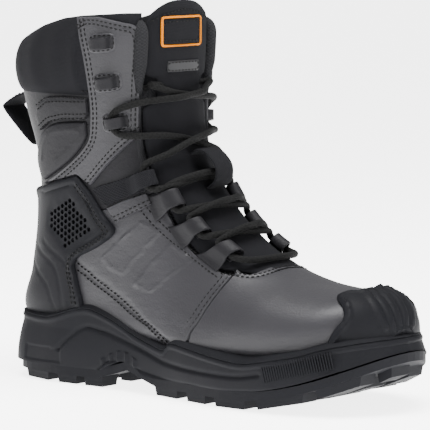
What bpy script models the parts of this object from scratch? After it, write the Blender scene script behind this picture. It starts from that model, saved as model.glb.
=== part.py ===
"""Steel toe work boot, right foot, with its laces and everything inside it.

The upper is lofted over a last described by a table of rings.  Every leather,
textile and plastic layer is a closed double wall at its own height over that
surface, trimmed by outlines drawn in the side view.  The frame has +X towards
the toe, +Z up and -Y on the outer side of the foot; the origin is on the
ground under the middle of the heel.
"""

import math

import bmesh
import bpy
from mathutils import Matrix, Vector

MM = 0.001

# ---------------------------------------------------------------- sizes ----
LAST_LENGTH = 313 * MM       # back of the collar to the tip of the toe
BALL_WIDTH = 104 * MM        # widest place of the upper, over the ball
SHAFT_HEIGHT = 262 * MM      # top of the shaft over the ground, at the front
SOLE_HEIGHT = 12 * MM        # outsole with its lugs
LUG_DEPTH = 6 * MM           # how far the lugs stand down
TOE_SPRING = 28 * MM         # how far the tip of the sole is off the ground

LEATHER = 2.0 * MM           # leather and textile of the upper
LINING = 2.5 * MM            # padded waterproof lining
COLLAR = 9.0 * MM            # padded collar
TONGUE = 3.9 * MM            # padded tongue
OVERLAY = 1.7 * MM           # second leather layer on the upper
COUNTER = 2.6 * MM           # moulded heel counter
BUMPER = 3.2 * MM            # moulded toe cover
STEEL = 1.8 * MM             # steel toe cap and heel stiffener
PLATE = 1.8 * MM             # puncture resistant board
FOOTBED = 4.5 * MM           # removable insole
SHANK = 2.0 * MM             # steel shank in the midsole
SHANK_WIDTH = 18 * MM
LACE = 4.6 * MM              # diameter of the lace
AGLET = 3.2 * MM             # diameter of the lace tip
GAP = 0.35 * MM              # clearance between neighbouring pieces

TONGUE_HALF = 33 * MM        # half width of the lacing opening
COLLAR_FLOOR = 196 * MM      # where the collar ends and the lining starts
HINGE_HEIGHT = 199 * MM      # where the free top of the tongue bends
BACK_SEAM_HALF = 10 * MM     # half width of the back stay
PULL_WIDTH = 22 * MM         # width of the pull loop's webbing
WEBBING = 1.6 * MM           # thickness of webbing

RING_POINTS = 24             # points around each ring
CORNER_CROWDING = 0.45       # how much closer they stand at the corners
RING_STEPS = 2               # rings between two rows of the last

# Rings of the last in mm, from the top of the shaft to the tip of the toe:
# front x and z, back x and z, share of the depth at the widest place, half
# width outside and inside, roundness of front and back, shift to the inside.
LAST = [
    (66, 262, -56, 252, .50, 50, 50, 3.0, 2.5, 0),
    (66, 234, -65, 222, .50, 51, 51, 3.0, 2.5, 0),
    (65, 203, -59, 186, .50, 48, 48, 3.0, 2.5, 0),
    (68, 173, -49, 150, .48, 44, 44, 3.0, 2.5, 0),
    (78, 149, -46, 110, .45, 43, 42, 3.0, 2.6, 0),
    (94, 130, -50, 72, .41, 44, 41, 2.9, 2.7, 0),
    (113, 113, -53, 42, .37, 44, 41, 2.8, 2.9, 0),
    (134, 98, 0, 32, .34, 44, 42, 2.7, 3.0, 0),
    (157, 86, 62, 28, .32, 49, 45, 2.6, 3.0, 1),
    (181, 79, 122, 26, .32, 55, 48, 2.5, 3.0, 1),
    (204, 76, 172, 27, .32, 54, 50, 2.4, 3.0, 2),
    (221, 74.5, 208, 31, .33, 47, 45, 2.5, 3.0, 3),
    (232, 69.5, 226, 35, .34, 36, 35, 2.6, 3.0, 4),
    (240.5, 60, 237.5, 37, .36, 23, 23, 2.5, 2.8, 5),
    (244, 49, 243, 42, .45, 8, 8, 2.2, 2.4, 5),
]
TIP = len(LAST) - 1
ANKLE_ROW = 5                # below this row the shaft height changes nothing

# Plan of the sole in mm: x, outer edge, inner edge.
SOLE_PLAN = [
    (-64, 0, 0), (-61, -18, 18), (-54, -33, 32), (-41, -43, 42),
    (-20, -48, 46), (0, -49, 46), (40, -47, 45), (80, -50, 46),
    (120, -58, 49), (155, -62, 54), (190, -60, 57), (224, -49, 49),
    (240, -34, 36), (249, -17, 21), (252, 3, 3),
]
SPRING_START = 150           # mm; the sole leaves the ground here
ARCH_MIDDLE, ARCH_HALF, ARCH_RISE = 53, 24, 8

# Upper edge of the sole's side wall, in the side view.
SOLE_EDGE = [
    (-80, 45), (-56, 45), (-28, 44), (-12, 45), (8, 51), (20, 53), (30, 51),
    (45, 46), (62, 39), (80, 34), (93, 32), (99, 37), (115, 36), (140, 33),
    (165, 31), (185, 34), (205, 38), (225, 44), (246, 48), (280, 51),
]
LUGS = [(-44, -18), (-9, 8), (14, 30), (78, 101), (110, 129), (137, 164),
        (172, 207), (214, 238)]
LUG_INSET = 4
LUG_REACH = 16
CENTRE_LUGS = [(-42, -20, 10), (-12, 12, 16), (18, 28, 12), (82, 98, 14),
               (106, 124, 16), (132, 150, 18), (158, 176, 18), (184, 202, 18),
               (210, 226, 12), (234, 245, 10)]

COLLAR_RIM = [
    (-90, 230), (-58, 231), (-40, 236), (-20, 243), (0, 248), (16, 250),
    (50, 252), (110, 252),
]
TONGUE_RIM_Z = 260


# -------------------------------------------------------------- the last ----
def catmull(values, place):
    """Value at a place between rows, on a smooth curve through all rows."""
    row = min(max(int(place), 0), len(values) - 2)
    t = place - row
    b, c = values[row], values[row + 1]
    a = values[row - 1] if row > 0 else 2 * b - c
    d = values[row + 2] if row + 2 < len(values) else 2 * c - b
    return b + 0.5 * t * (c - a + t * (2 * a - 5 * b + 4 * c - d
                                       + t * (3 * (b - c) + d - a)))


LENGTH_SPAN = (LAST[TIP][0] - min(row[2] for row in LAST)) * MM
WIDTH_SPAN = max(row[5] + row[6] for row in LAST[8:]) * MM
ANKLE_Z = LAST[ANKLE_ROW][1]
STRETCH_X = LAST_LENGTH / LENGTH_SPAN
STRETCH_Y = BALL_WIDTH / WIDTH_SPAN
STRETCH_SHAFT = (SHAFT_HEIGHT - ANKLE_Z * MM) / ((LAST[0][1] - ANKLE_Z) * MM)


def graded(x, y, z):
    """A design place in mm, moved to the chosen size and turned to metres."""
    if z > ANKLE_Z:
        z = ANKLE_Z + (z - ANKLE_Z) * STRETCH_SHAFT
    return Vector((x * STRETCH_X, y * STRETCH_Y, z)) * MM


def skin_point(row, turn):
    """Point of the upper's outer skin.

    row runs down the last; turn is 0 at the front, a quarter turn on the
    outer side and a half turn at the back.
    """
    (front_x, front_z, back_x, back_z, share, outer, inner, front_round,
     back_round, shift) = (catmull([r[k] for r in LAST], row)
                           for k in range(10))
    along_x, along_z = front_x - back_x, front_z - back_z
    cosine, sine = math.cos(turn), math.sin(turn)
    power = front_round if cosine > 0 else back_round
    reach = (abs(cosine) ** power + abs(sine) ** power) ** (-1 / power)
    depth = (1 - share if cosine > 0 else share) * cosine * reach
    width = (outer if sine > 0 else inner) * sine * reach
    return graded(back_x + along_x * (share + depth), shift - width,
                  back_z + along_z * (share + depth))


def skin_frame(row, turn, lift=0.0):
    """Point over the skin, with its normal and its direction up the boot."""
    step = 1e-3
    low_row, high_row = max(row - step, 0), min(row + step, TIP)
    down = skin_point(high_row, turn) - skin_point(low_row, turn)
    around = skin_point(row, turn + step) - skin_point(row, turn - step)
    normal = around.cross(down).normalized()
    point = skin_point(row, turn) + normal * lift
    return point, normal, -down.normalized()


# ------------------------------------------------------------ collections ----
def make_collection(name):
    collection = bpy.data.collections.new(name)
    bpy.context.scene.collection.children.link(collection)
    return collection


def clear_scene():
    for obj in list(bpy.data.objects):
        bpy.data.objects.remove(obj, do_unlink=True)


FINISHES = {
    "leather": ((0.050, 0.050, 0.056), 0.45, 0.0),
    "textile": ((0.022, 0.022, 0.025), 0.85, 0.0),
    "lining": ((0.030, 0.030, 0.032), 0.90, 0.0),
    "rubber": ((0.028, 0.028, 0.031), 0.62, 0.0),
    "moulding": ((0.032, 0.032, 0.036), 0.55, 0.0),
    "lace": ((0.028, 0.028, 0.026), 0.80, 0.0),
    "accent": ((0.75, 0.36, 0.06), 0.60, 0.0),
    "steel": ((0.45, 0.45, 0.46), 0.35, 1.0),
    "board": ((0.55, 0.50, 0.40), 0.80, 0.0),
    "foam": ((0.10, 0.10, 0.11), 0.90, 0.0),
    "plastic": ((0.02, 0.02, 0.02), 0.40, 0.0),
}


def make_material(node, finish):
    """One Principled material for each node, in its finish."""
    colour, roughness, metallic = FINISHES[finish]
    material = bpy.data.materials.new(node)
    material.use_nodes = True
    shader = material.node_tree.nodes["Principled BSDF"]
    shader.inputs["Base Color"].default_value = (*colour, 1.0)
    shader.inputs["Roughness"].default_value = roughness
    shader.inputs["Metallic"].default_value = metallic
    return material


def add_part(name, mesh, finish):
    part = bpy.data.objects.new(name, mesh)
    PARTS.objects.link(part)
    material = make_material(name, finish)
    if mesh.materials:
        part.material_slots[0].link = "OBJECT"
    else:
        mesh.materials.append(None)
        part.material_slots[0].link = "OBJECT"
    part.material_slots[0].material = material
    return part


def add_cutter(name, mesh):
    cutter = bpy.data.objects.new(name, mesh)
    CUTTERS.objects.link(cutter)
    cutter.hide_render = True
    cutter.display_type = "WIRE"
    return cutter


def boolean(part, cutter, operation):
    modifier = part.modifiers.new(cutter.name, "BOOLEAN")
    modifier.operation = operation
    modifier.object = cutter
    return part


def keep_inside(part, *cutters):
    for cutter in cutters:
        boolean(part, cutter, "INTERSECT")
    return part


def cut_away(part, *cutters):
    for cutter in cutters:
        boolean(part, cutter, "DIFFERENCE")
    return part


def finish_mesh(name, bm):
    bmesh.ops.recalc_face_normals(bm, faces=bm.faces)
    mesh = bpy.data.meshes.new(name)
    bm.to_mesh(mesh)
    bm.free()
    return mesh


# ----------------------------------------------------------- lofted shells ----
def ring_rows(first, last):
    count = max(1, round((last - first) * RING_STEPS))
    return [first + (last - first) * k / count for k in range(count + 1)]


def skin_rings(bm, lift, rows):
    rings = []
    for row in rows:
        even = (2 * math.pi * k / RING_POINTS for k in range(RING_POINTS))
        turns = (turn + CORNER_CROWDING * math.sin(4 * turn) / 4
                 for turn in even)
        points = (skin_frame(row, turn, lift)[0] for turn in turns)
        rings.append([bm.verts.new(point) for point in points])
    return rings


def bridge(bm, ring_a, ring_b):
    for k, corner in enumerate(ring_a):
        following = (k + 1) % len(ring_a)
        bm.faces.new((corner, ring_a[following], ring_b[following], ring_b[k]))


def bridge_all(bm, rings):
    for ring_a, ring_b in zip(rings, rings[1:]):
        bridge(bm, ring_a, ring_b)


def fan(bm, ring):
    """Close a ring with triangles around its middle."""
    middle = bm.verts.new(sum((v.co for v in ring), Vector()) / len(ring))
    for corner, following in zip(ring, ring[1:] + ring[:1]):
        bm.faces.new((corner, following, middle))


def solid_over_skin(name, lift, first=0.0, last=TIP):
    """Everything under one lifted skin, closed at both ends."""
    bm = bmesh.new()
    rings = skin_rings(bm, lift, ring_rows(first, last))
    bridge_all(bm, rings)
    fan(bm, rings[0])
    fan(bm, rings[-1])
    return finish_mesh(name, bm)


def shell_mesh(name, outside, inside, first=0.0, last=TIP):
    """Double wall between two lifts over the skin, open at its first ring.

    It is closed by caps at the toe, and left open at both ends where it
    stops before the toe.
    """
    bm = bmesh.new()
    rows = ring_rows(first, last)
    outer = skin_rings(bm, outside, rows)
    inner = skin_rings(bm, inside, rows)
    bridge_all(bm, outer)
    bridge_all(bm, inner)
    bridge(bm, outer[0], inner[0])
    if last < TIP:
        bridge(bm, outer[-1], inner[-1])
    else:
        fan(bm, outer[-1])
        fan(bm, inner[-1])
    return finish_mesh(name, bm)


# ---------------------------------------------------------------- cutters ----
def smooth_line(points, steps=3):
    """Points along a smooth curve through a few points of an outline."""
    line = []
    last = len(points) - 1
    for k in range(last * steps + 1):
        place = min(k / steps, last)
        line.append(tuple(catmull([p[axis] for p in points], place)
                          for axis in range(len(points[0]))))
    return line


def prism(name, outline, low_y, high_y):
    """Side view outline in mm, carried across the boot between two widths."""
    bm = bmesh.new()
    places = [graded(x, 0, z) for x, z in outline]
    near = [bm.verts.new((p.x, low_y, p.z)) for p in places]
    face = bm.faces.new(near)
    moved = bmesh.ops.extrude_face_region(bm, geom=[face])["geom"]
    far = [v for v in moved if isinstance(v, bmesh.types.BMVert)]
    bmesh.ops.translate(bm, verts=far, vec=(0, high_y - low_y, 0))
    return add_cutter(name, finish_mesh(name, bm))


def block(name, low, high):
    """Box between two corners in metres."""
    bm = bmesh.new()
    bmesh.ops.create_cube(bm, size=1)
    size = high - low
    for vert in bm.verts:
        vert.co = Vector(low[k] + (vert.co[k] + 0.5) * size[k]
                         for k in range(3))
    return add_cutter(name, finish_mesh(name, bm))


def shifted(line, dx, dz=0.0):
    """An outline in mm moved by a clearance in metres."""
    return [(x + dx / MM, z + dz / MM) for x, z in line]


SIDES = {"lateral": -1, "medial": 1}
FAR = 120 * MM               # past either side of the boot


def side_prism(name, outline, side, start):
    """Prism on one side only, from a distance off the middle outwards."""
    sign = SIDES[side]
    low, high = sorted((sign * start, sign * FAR))
    return prism(f"{name}_{side}", outline, low, high)


# ------------------------------------------------- outlines in side view ----
VAMP_SEAM = smooth_line([
    (137, 92), (135, 83), (131, 74), (125, 62), (119, 52), (112, 40),
    (98, 16)])
ANKLE_SEAM = [(96, 145), (66, 132), (49, 127), (34, 121), (22, 118),
              (-90, 118)]
OPENING = [
    (36, 300), (36, 150), (48, 124), (64, 104), (84, 88), (106, 76),
    (128, 66), (146, 62), (151, 84), (152, 100), (170, 140), (150, 300)]
FLOOR_LINE = [
    (-80, 45), (-56, 41), (-30, 36), (0, 32), (62, 28), (122, 26), (172, 27),
    (210, 31), (231, 34), (243, 37), (280, 42)]
FACING = smooth_line([
    (16, 249), (18, 236), (21, 222), (23, 205), (24, 190), (23, 178),
    (21, 168), (15, 160), (4, 151), (-10, 142), (-24, 135)], 2) + [
    (-24, 134), (9, 143), (21, 136), (40, 155), (58, 172), (110, 172),
    (110, 250)]
BAND = [(22, 195), (20, 181), (0, 180), (-14, 177), (-24, 171), (-28, 180),
        (-24, 189), (-14, 194), (0, 195)]
PUFF = smooth_line([
    (19, 179), (0, 178), (-14, 175), (-24, 168), (-29, 160), (-32, 149),
    (-27, 137.5)], 2) + smooth_line([
        (-24, 137), (-10, 144), (2, 151.5), (13, 161), (19, 169)], 2)
COUNTER_EDGE = [
    (-90, 131), (-30, 131), (-24, 133.5), (9, 142), (21, 131), (33, 117),
    (42, 109), (40, 103), (26, 94), (8, 85), (9, 75), (13, 61), (17, 40),
    (-90, 20)]
STRAP = [(23, 133), (28, 136), (45, 141), (57, 148), (90, 160), (90, 143),
         (66, 134.5), (49, 128.5), (35, 122.5)]
STRIP = [(35, 121.5), (49, 127.5), (66, 133.5), (90, 143), (90, 132),
         (68, 125), (54, 118), (43.5, 113)]
BUMPER_EDGE = [
    (212, 20), (222, 53), (227, 64), (225, 69), (217, 73), (205, 76),
    (196, 84), (196, 100), (300, 100), (300, 20)]
PULL_PATH = smooth_line([
    (-63.8, 193), (-76, 191), (-88.5, 184.5), (-89.5, 181), (-77, 169),
    (-64, 158.5), (-59.1, 159.5), (-59.8, 170), (-62.8, 184)])
KEEPER_PATH = smooth_line([
    (75.3, 157.5), (80.5, 160.5), (88.5, 159.3), (97, 151), (97, 141.2),
    (90.0, 135.4)])

# Where the laces are held: row and turn in degrees on either side.
TABS = [(6.95, 31), (5.92, 34.3), (4.9, 37.8)]
EYE = (4.15, 46)
HOOKS = [(2.63, 56), (1.79, 58), (0.96, 60)]
TAB_SIZE = (11.5 * MM, 11.4 * MM, 8.6 * MM)     # along the boot, across, high
EYE_SIZE = (9.8 * MM, 11.2 * MM, 8.6 * MM)
HOOK_SIZE = (7.5 * MM, 12.5 * MM, 8.2 * MM)
TAB_WALL = 1.0 * MM
LOW, HIGH = 3.2 * MM, 8.4 * MM                # crossing strands over the skin

# Lace ends inside the shaft in mm: from the edge of the tongue down to the
# footbed and along it.  y is measured towards the side where the end is.
TAIL_ROUTE = [
    (54, 28, 201.5), (48.5, 28, 199.5), (44.3, 28.5, 190),
    (43, 29, 174), (42.5, 29, 156), (42, 28.5, 136), (42, 28, 116),
    (42, 27.5, 96), (43, 27, 78), (47, 26, 62), (57, 24.5, 51.5),
    (71, 23, 48.5), (86, 22, 48), (101, 21, 48)]
AGLET_LENGTH = 20 * MM


# ------------------------------------------------------------- the upper ----
def above(line, clearance=0.0):
    """Outline of everything over a line that runs along the boot."""
    return shifted(line, 0, clearance) + [(line[-1][0], 400),
                                          (line[0][0], 400)]


def below(line, clearance=0.0):
    return shifted(line, 0, -clearance) + [(line[-1][0], -50),
                                           (line[0][0], -50)]


def level(z):
    return [(-200, z / MM), (400, z / MM)]


def rough_z(z):
    """A height in metres back on the design scale, in mm."""
    z = z / MM
    if z > ANKLE_Z:
        z = ANKLE_Z + (z - ANKLE_Z) / STRETCH_SHAFT
    return z


def upper_layers():
    """Leather of the foot and ankle, edge to edge in one layer."""
    opening = prism("opening_wide", OPENING, -TONGUE_HALF - GAP / 2,
                    TONGUE_HALF + GAP / 2)
    half = GAP / 2
    front = prism("vamp_zone", shifted(VAMP_SEAM, half)
                  + [(400, 16), (400, 92)], -FAR, FAR)
    mesh = shell_mesh("leather_front", 0, -LEATHER, 6)
    vamp = add_part("vamp", mesh, "leather")
    keep_inside(vamp, cut_away(front, opening))

    rear = shell_mesh("leather_rear", 0, -LEATHER, 2, 10)
    foot = (shifted(VAMP_SEAM, -half)[::-1]
            + shifted(ANKLE_SEAM, 0, -half) + [(-90, 16)])
    ankle = (shifted(ANKLE_SEAM, 0, half)
             + [(-90, rough_z(COLLAR_FLOOR - GAP)),
                (150, rough_z(COLLAR_FLOOR - GAP))])
    for side in SIDES:
        zones = {"quarter": foot, "shaft": ankle}
        for piece, zone in zones.items():
            part = add_part(f"{piece}_{side}", rear, "leather")
            cutter = side_prism(f"{piece}_zone", zone, side, half)
            keep_inside(part, cut_away(cutter, opening))

    rim = prism("rim_zone", below(COLLAR_RIM), -FAR, FAR)
    collar_zone = prism("collar_zone", [
        (-150, rough_z(COLLAR_FLOOR)), (200, rough_z(COLLAR_FLOOR)),
        (200, 300), (-150, 300)], -FAR, FAR)
    collar = add_part("collar", shell_mesh("collar", 0, -COLLAR, 0, 3),
                      "textile")
    cut_away(keep_inside(collar, collar_zone, rim), opening)


def tongue_parts():
    inside = prism("opening_narrow", OPENING, -TONGUE_HALF + GAP / 2,
                   TONGUE_HALF - GAP / 2)
    fixed_top = rough_z(HINGE_HEIGHT - 2.5 * MM)
    free_foot = rough_z(HINGE_HEIGHT - 1.2 * MM)
    lower_zone = prism("tongue_lower_zone", below(
        [(-100, fixed_top), (300, fixed_top)]), -FAR, FAR)
    upper_zone = prism("tongue_upper_zone", [
        (-100, free_foot), (300, free_foot), (300, TONGUE_RIM_Z),
        (-100, TONGUE_RIM_Z)], -FAR, FAR)
    mesh = shell_mesh("tongue", 0, -TONGUE, 0, 9)
    lower = add_part("tongue_lower", mesh, "textile")
    keep_inside(lower, inside, lower_zone)
    top = add_part("tongue_top", mesh, "textile")
    keep_inside(top, inside, upper_zone)
    notch_foot = HINGE_HEIGHT - 4 * MM
    notch_top = HINGE_HEIGHT + 8 * MM
    for sign in SIDES.values():
        inner, outer = sorted((sign * (TONGUE_HALF - 9 * MM),
                               sign * (TONGUE_HALF + 5 * MM)))
        notch = block("tail_notch", Vector((0, inner, notch_foot)),
                      Vector((0.1, outer, notch_top)))
        cut_away(top, notch)

    on_tongue = shell_mesh("on_tongue", GAP + 1 * MM, GAP, 0, 3)
    outer = prism("patch_outer", [(30, 229), (110, 229), (110, 250),
                                  (30, 250)], -22 * MM, 18 * MM)
    inner = prism("patch_inner", [(30, 231.5), (110, 231.5), (110, 247.5),
                                  (30, 247.5)], -19.5 * MM, 15.5 * MM)
    frame = add_part("tongue_patch_frame", on_tongue, "accent")
    cut_away(keep_inside(frame, outer), inner)
    tag_zone = prism("tag_zone", [(30, 212), (110, 212), (110, 220),
                                  (30, 220)], -16 * MM, 16 * MM)
    tag = add_part("tongue_tag", on_tongue, "plastic")
    keep_inside(tag, tag_zone)


def lining_parts():
    """Everything inside the leather, from the steel to the footbed."""
    first = LEATHER + GAP
    second = first + STEEL + GAP
    third = second + LINING + GAP
    lining_top = prism("lining_zone", below(level(COLLAR_FLOOR - GAP)),
                       -FAR, FAR)
    lining = add_part("lining", shell_mesh(
        "lining", -second, -second - LINING, 1.5), "lining")
    keep_inside(lining, lining_top)

    hidden = shell_mesh("hidden_steel", -first, -first - STEEL, 4)
    over_board = prism("over_board", above(FLOOR_LINE, 6.5 * MM), -FAR, FAR)
    toe_zone = prism("toe_cap_zone", [(193, 0), (300, 0), (300, 120),
                                      (188, 120)], -FAR, FAR)
    keep_inside(add_part("steel_toe_cap", hidden, "steel"), over_board,
                toe_zone)
    heel_zone = prism("stiffener_zone", [
        (-100, 20), (24, 20), (22, 60), (-8, 92), (-34, 104), (-100, 104)],
        -FAR, FAR)
    keep_inside(add_part("heel_stiffener", hidden, "board"), over_board,
                heel_zone)
    board = add_part("puncture_board", shell_mesh(
        "puncture_board", -first, -first - PLATE, 5), "board")
    board_zone = prism("board_zone", below(FLOOR_LINE, -5.5 * MM), -FAR, FAR)
    keep_inside(board, board_zone)
    footbed = add_part("footbed", shell_mesh(
        "footbed", -third, -third - FOOTBED, 5, TIP - 1.5), "foam")
    bed_zone = prism("bed_zone", below(FLOOR_LINE, -17 * MM), -FAR, FAR)
    keep_inside(footbed, bed_zone)


def overlays():
    """Second layer of leather, textile and moulded parts on the upper."""
    sole_zone = prism("sole_zone", below(SOLE_EDGE, -GAP), -FAR, FAR)
    leather = shell_mesh("overlay", GAP + OVERLAY, GAP, 0, 6)
    shapes = {"facing": (FACING, "leather"), "collar_band": (BAND, "leather"),
              "ankle_pad": (PUFF, "leather"), "side_strip": (STRIP, "leather"),
              "webbing_strap": (STRAP, "textile")}
    for side in SIDES:
        for piece, (outline, finish) in shapes.items():
            part = add_part(f"{piece}_{side}", leather, finish)
            zone = side_prism(f"{piece}_zone", outline, side,
                              TONGUE_HALF + 1 * MM
                              if piece != "ankle_pad" else BACK_SEAM_HALF)
            keep_inside(part, zone)
    stay = add_part("back_stay", leather, "leather")
    keep_inside(stay, prism("stay_zone", [(-100, 134), (0, 134), (0, 194),
                                          (-100, 194)],
                            -BACK_SEAM_HALF, BACK_SEAM_HALF))

    counter = add_part("heel_counter", shell_mesh(
        "heel_counter", GAP + COUNTER, GAP, 3, 9), "moulding")
    counter_zone = prism("counter_zone", COUNTER_EDGE, -FAR, FAR)
    keep_inside(counter, cut_away(counter_zone, sole_zone))
    bumper = add_part("toe_bumper", shell_mesh(
        "toe_bumper", GAP + BUMPER, GAP, 9), "moulding")
    bumper_zone = prism("bumper_zone", BUMPER_EDGE, -FAR, FAR)
    keep_inside(bumper, cut_away(bumper_zone, sole_zone))


# -------------------------------------------------- loops that hold laces ----
def tunnel(name, place, side, size, lift, wall, finish):
    """Flattened tube of leather or webbing that a lace runs through."""
    row, degrees = place
    length, across, high = size
    turn = -math.radians(degrees) * SIDES[side]
    point, normal, up = skin_frame(row, turn, lift + high / 2)
    right = up.cross(normal)
    bm = bmesh.new()
    rings = []
    for end in (-0.5, 0.5):
        for inset in (0, wall):
            ring = []
            for k in range(12):
                angle = 2 * math.pi * k / 12
                cosine, sine = math.cos(angle), math.sin(angle)
                reach = (abs(cosine) ** 3 + abs(sine) ** 3) ** (-1 / 3)
                ring.append(bm.verts.new(
                    point + up * (end * length)
                    + right * (across / 2 - inset) * cosine * reach
                    + normal * (high / 2 - inset) * sine * reach))
            rings.append(ring)
    outer_low, inner_low, outer_high, inner_high = rings
    for pair in ((outer_low, outer_high), (inner_low, inner_high),
                 (outer_low, inner_low), (outer_high, inner_high)):
        bridge(bm, *pair)
    return add_part(f"{name}_{side}", finish_mesh(name, bm), finish)


def lace_holders():
    for side in SIDES:
        for k, place in enumerate(TABS):
            tunnel(f"lace_tab_{k + 1}", place, side, TAB_SIZE, GAP, TAB_WALL,
                   "leather")
        tunnel("webbing_eye", EYE, side, EYE_SIZE, 2 * GAP + OVERLAY,
               TAB_WALL, "textile")
        for k, place in enumerate(HOOKS):
            tunnel(f"lace_hook_{k + 1}", place, side, HOOK_SIZE,
                   2 * GAP + OVERLAY, TAB_WALL, "leather")


# ------------------------------------------------------------------ laces ----
def lace_half(sign, first_over):
    """Row, turn and lift of one half of the lace, from the lowest bar up.

    sign is 1 for the half that starts on the outer side.  It crosses the
    tongue four times, and lies over the other half at every second crossing.
    """
    tab = GAP + TAB_SIZE[2] / 2
    eye = 2 * GAP + OVERLAY + EYE_SIZE[2] / 2
    hook = 2 * GAP + OVERLAY + HOOK_SIZE[2] / 2
    over = [HIGH if first_over == (k % 2 == 0) else LOW for k in range(4)]
    steps = [
        (7.56, 14, LOW), (7.50, 27, tab), (7.25, 32, tab), (6.95, 32.5, tab),
        (6.62, 32, tab), (6.50, 26, tab + 0.5 * MM),
        (6.46, 12, over[0]), (6.42, 0, over[0]), (6.38, -12, over[0]),
        (6.36, -27, tab + 0.5 * MM), (6.24, -34.5, tab), (5.92, -35, tab),
        (5.58, -34.8, tab), (5.47, -28, tab + 0.5 * MM),
        (5.44, -13, over[1]), (5.40, 0, over[1]), (5.36, 13, over[1]),
        (5.33, 30, tab + 0.5 * MM), (5.22, 38, tab), (4.9, 38.6, tab),
        (4.55, 39, tab), (4.43, 31.5, tab + 0.5 * MM),
        (4.42, 14, over[2]), (4.40, 0, over[2]), (4.42, -14, over[2]),
        (4.52, -32, 5.0 * MM), (4.50, -42, eye), (4.32, -46.5, eye),
        (4.0, -46.5, eye), (3.74, -44, eye), (3.60, -30, 5 * MM),
        (3.40, -14, over[3]), (3.28, 0, over[3]), (3.18, 14, over[3]),
        (3.08, 30, 4.5 * MM), (3.02, 42, hook - 0.6 * MM), (2.93, 52, hook),
        (2.78, 56.5, hook), (2.63, 57, hook), (2.48, 56.5, hook),
        (2.35, 52, hook), (2.28, 42, hook - 0.6 * MM), (2.26, 30, 4.5 * MM),
        (2.24, 14, over[0]), (2.20, 0, over[0]), (2.14, -14, over[0]),
        (2.05, -24, 4.0 * MM), (1.98, -29.5, 3.6 * MM),
    ]
    return [(row, sign * turn, lift) for row, turn, lift in steps]


def lace_route():
    """The whole held lace, from its end on the outer side to the inner."""
    first = lace_half(1, True)
    second = lace_half(-1, False)
    return first[::-1] + [(7.58, 0, LOW)] + second


def smooth_route(points, spacing):
    """Evenly spaced points on a smooth curve through a route."""
    line = [Vector(p) for p in smooth_line([tuple(p) for p in points], 8)]
    route = [line[0]]
    travelled = 0.0
    for here, there in zip(line, line[1:]):
        travelled += (there - here).length
        if travelled >= spacing:
            route.append(there)
            travelled = 0.0
    if (route[-1] - line[-1]).length < spacing / 2:
        route[-1] = line[-1]
    else:
        route.append(line[-1])
    return route


def tube(name, points, diameter, finish, resolution=2):
    """Round cord along points, as a capped curve made into a closed mesh."""
    curve = bpy.data.curves.new(name, "CURVE")
    curve.dimensions = "3D"
    curve.bevel_depth = diameter / 2
    curve.bevel_resolution = resolution
    curve.use_fill_caps = True
    spline = curve.splines.new("POLY")
    spline.points.add(len(points) - 1)
    for knot, point in zip(spline.points, points):
        knot.co = (*point, 1.0)
    holder = bpy.data.objects.new(name, curve)
    CUTTERS.objects.link(holder)
    bpy.context.view_layer.update()
    seen = holder.evaluated_get(bpy.context.evaluated_depsgraph_get())
    mesh = bpy.data.meshes.new_from_object(seen)
    bpy.data.objects.remove(holder, do_unlink=True)
    bm = bmesh.new()
    bm.from_mesh(mesh)
    bmesh.ops.remove_doubles(bm, verts=bm.verts, dist=0.01 * MM)
    bpy.data.meshes.remove(mesh)
    return add_part(name, finish_mesh(name, bm), finish)


def laces():
    places = [skin_frame(row, math.radians(turn), lift)[0]
              for row, turn, lift in lace_route()]
    held = smooth_route(places, 1.9 * LACE)
    tube("lace", held, LACE, "lace")
    for side, sign in SIDES.items():
        tail = [graded(x, sign * y, z) for x, y, z in TAIL_ROUTE]
        ends = held[:2] if sign > 0 else held[-1:-3:-1]
        leaving = (ends[0] - ends[1]).normalized()
        start = ends[0] + leaving * GAP
        tail = smooth_route([start + leaving * LACE] + tail, 2.2 * LACE)
        tube(f"lace_tail_{side}", [start] + tail, LACE, "lace")
        course = (tail[-1] - tail[-2]).normalized()
        start = tail[-1] + course * GAP
        tube(f"aglet_{side}", [start, start + course * AGLET_LENGTH],
             AGLET, "plastic")


# ------------------------------------------------------------- webbing bits ----
def band_part(name, path, low_y, high_y, finish, closed=False):
    """Webbing of even thickness along a path in the side view."""
    bm = bmesh.new()
    places = [graded(x, 0, z) for x, z in path]
    count = len(places)
    rows = []
    for k, place in enumerate(places):
        before = places[(k - 1) % count if closed else max(k - 1, 0)]
        after = places[(k + 1) % count if closed else min(k + 1, count - 1)]
        along = (after - before).normalized()
        off = Vector((-along.z, 0, along.x)) * WEBBING / 2
        rows.append([bm.verts.new((p.x, y, p.z)) for p, y in (
            (place + off, low_y), (place + off, high_y),
            (place - off, high_y), (place - off, low_y))])
    bridge_all(bm, rows)
    if closed:
        bridge(bm, rows[-1], rows[0])
    else:
        bm.faces.new(rows[0])
        bm.faces.new(rows[-1])
    return add_part(name, finish_mesh(name, bm), finish)


def webbing_loops():
    band_part("pull_loop", PULL_PATH, -PULL_WIDTH / 2, PULL_WIDTH / 2,
              "textile", closed=True)
    band_part("lace_keeper", KEEPER_PATH, -5 * MM, 13 * MM, "textile")


# --------------------------------------------------------------- the sole ----
def sole_rows(inset=0.0):
    """Rows across the sole in metres: x, outer edge, inner edge."""
    rows = []
    for x, outer, inner in smooth_line(SOLE_PLAN):
        place = graded(x, 0, 0)
        low = graded(0, outer, 0).y
        high = graded(0, inner, 0).y
        if high - low > 2.5 * inset:
            rows.append((place.x, low + inset, high - inset))
    return rows


def underside(x):
    """Height of the tread between the lugs at a place along the boot."""
    return LUG_DEPTH + spring(x) + arch(x)


def spring(x):
    start = graded(SPRING_START, 0, 0).x
    tip = graded(SOLE_PLAN[-1][0], 0, 0).x
    return TOE_SPRING * (max(0.0, x - start) / (tip - start)) ** 2


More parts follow.
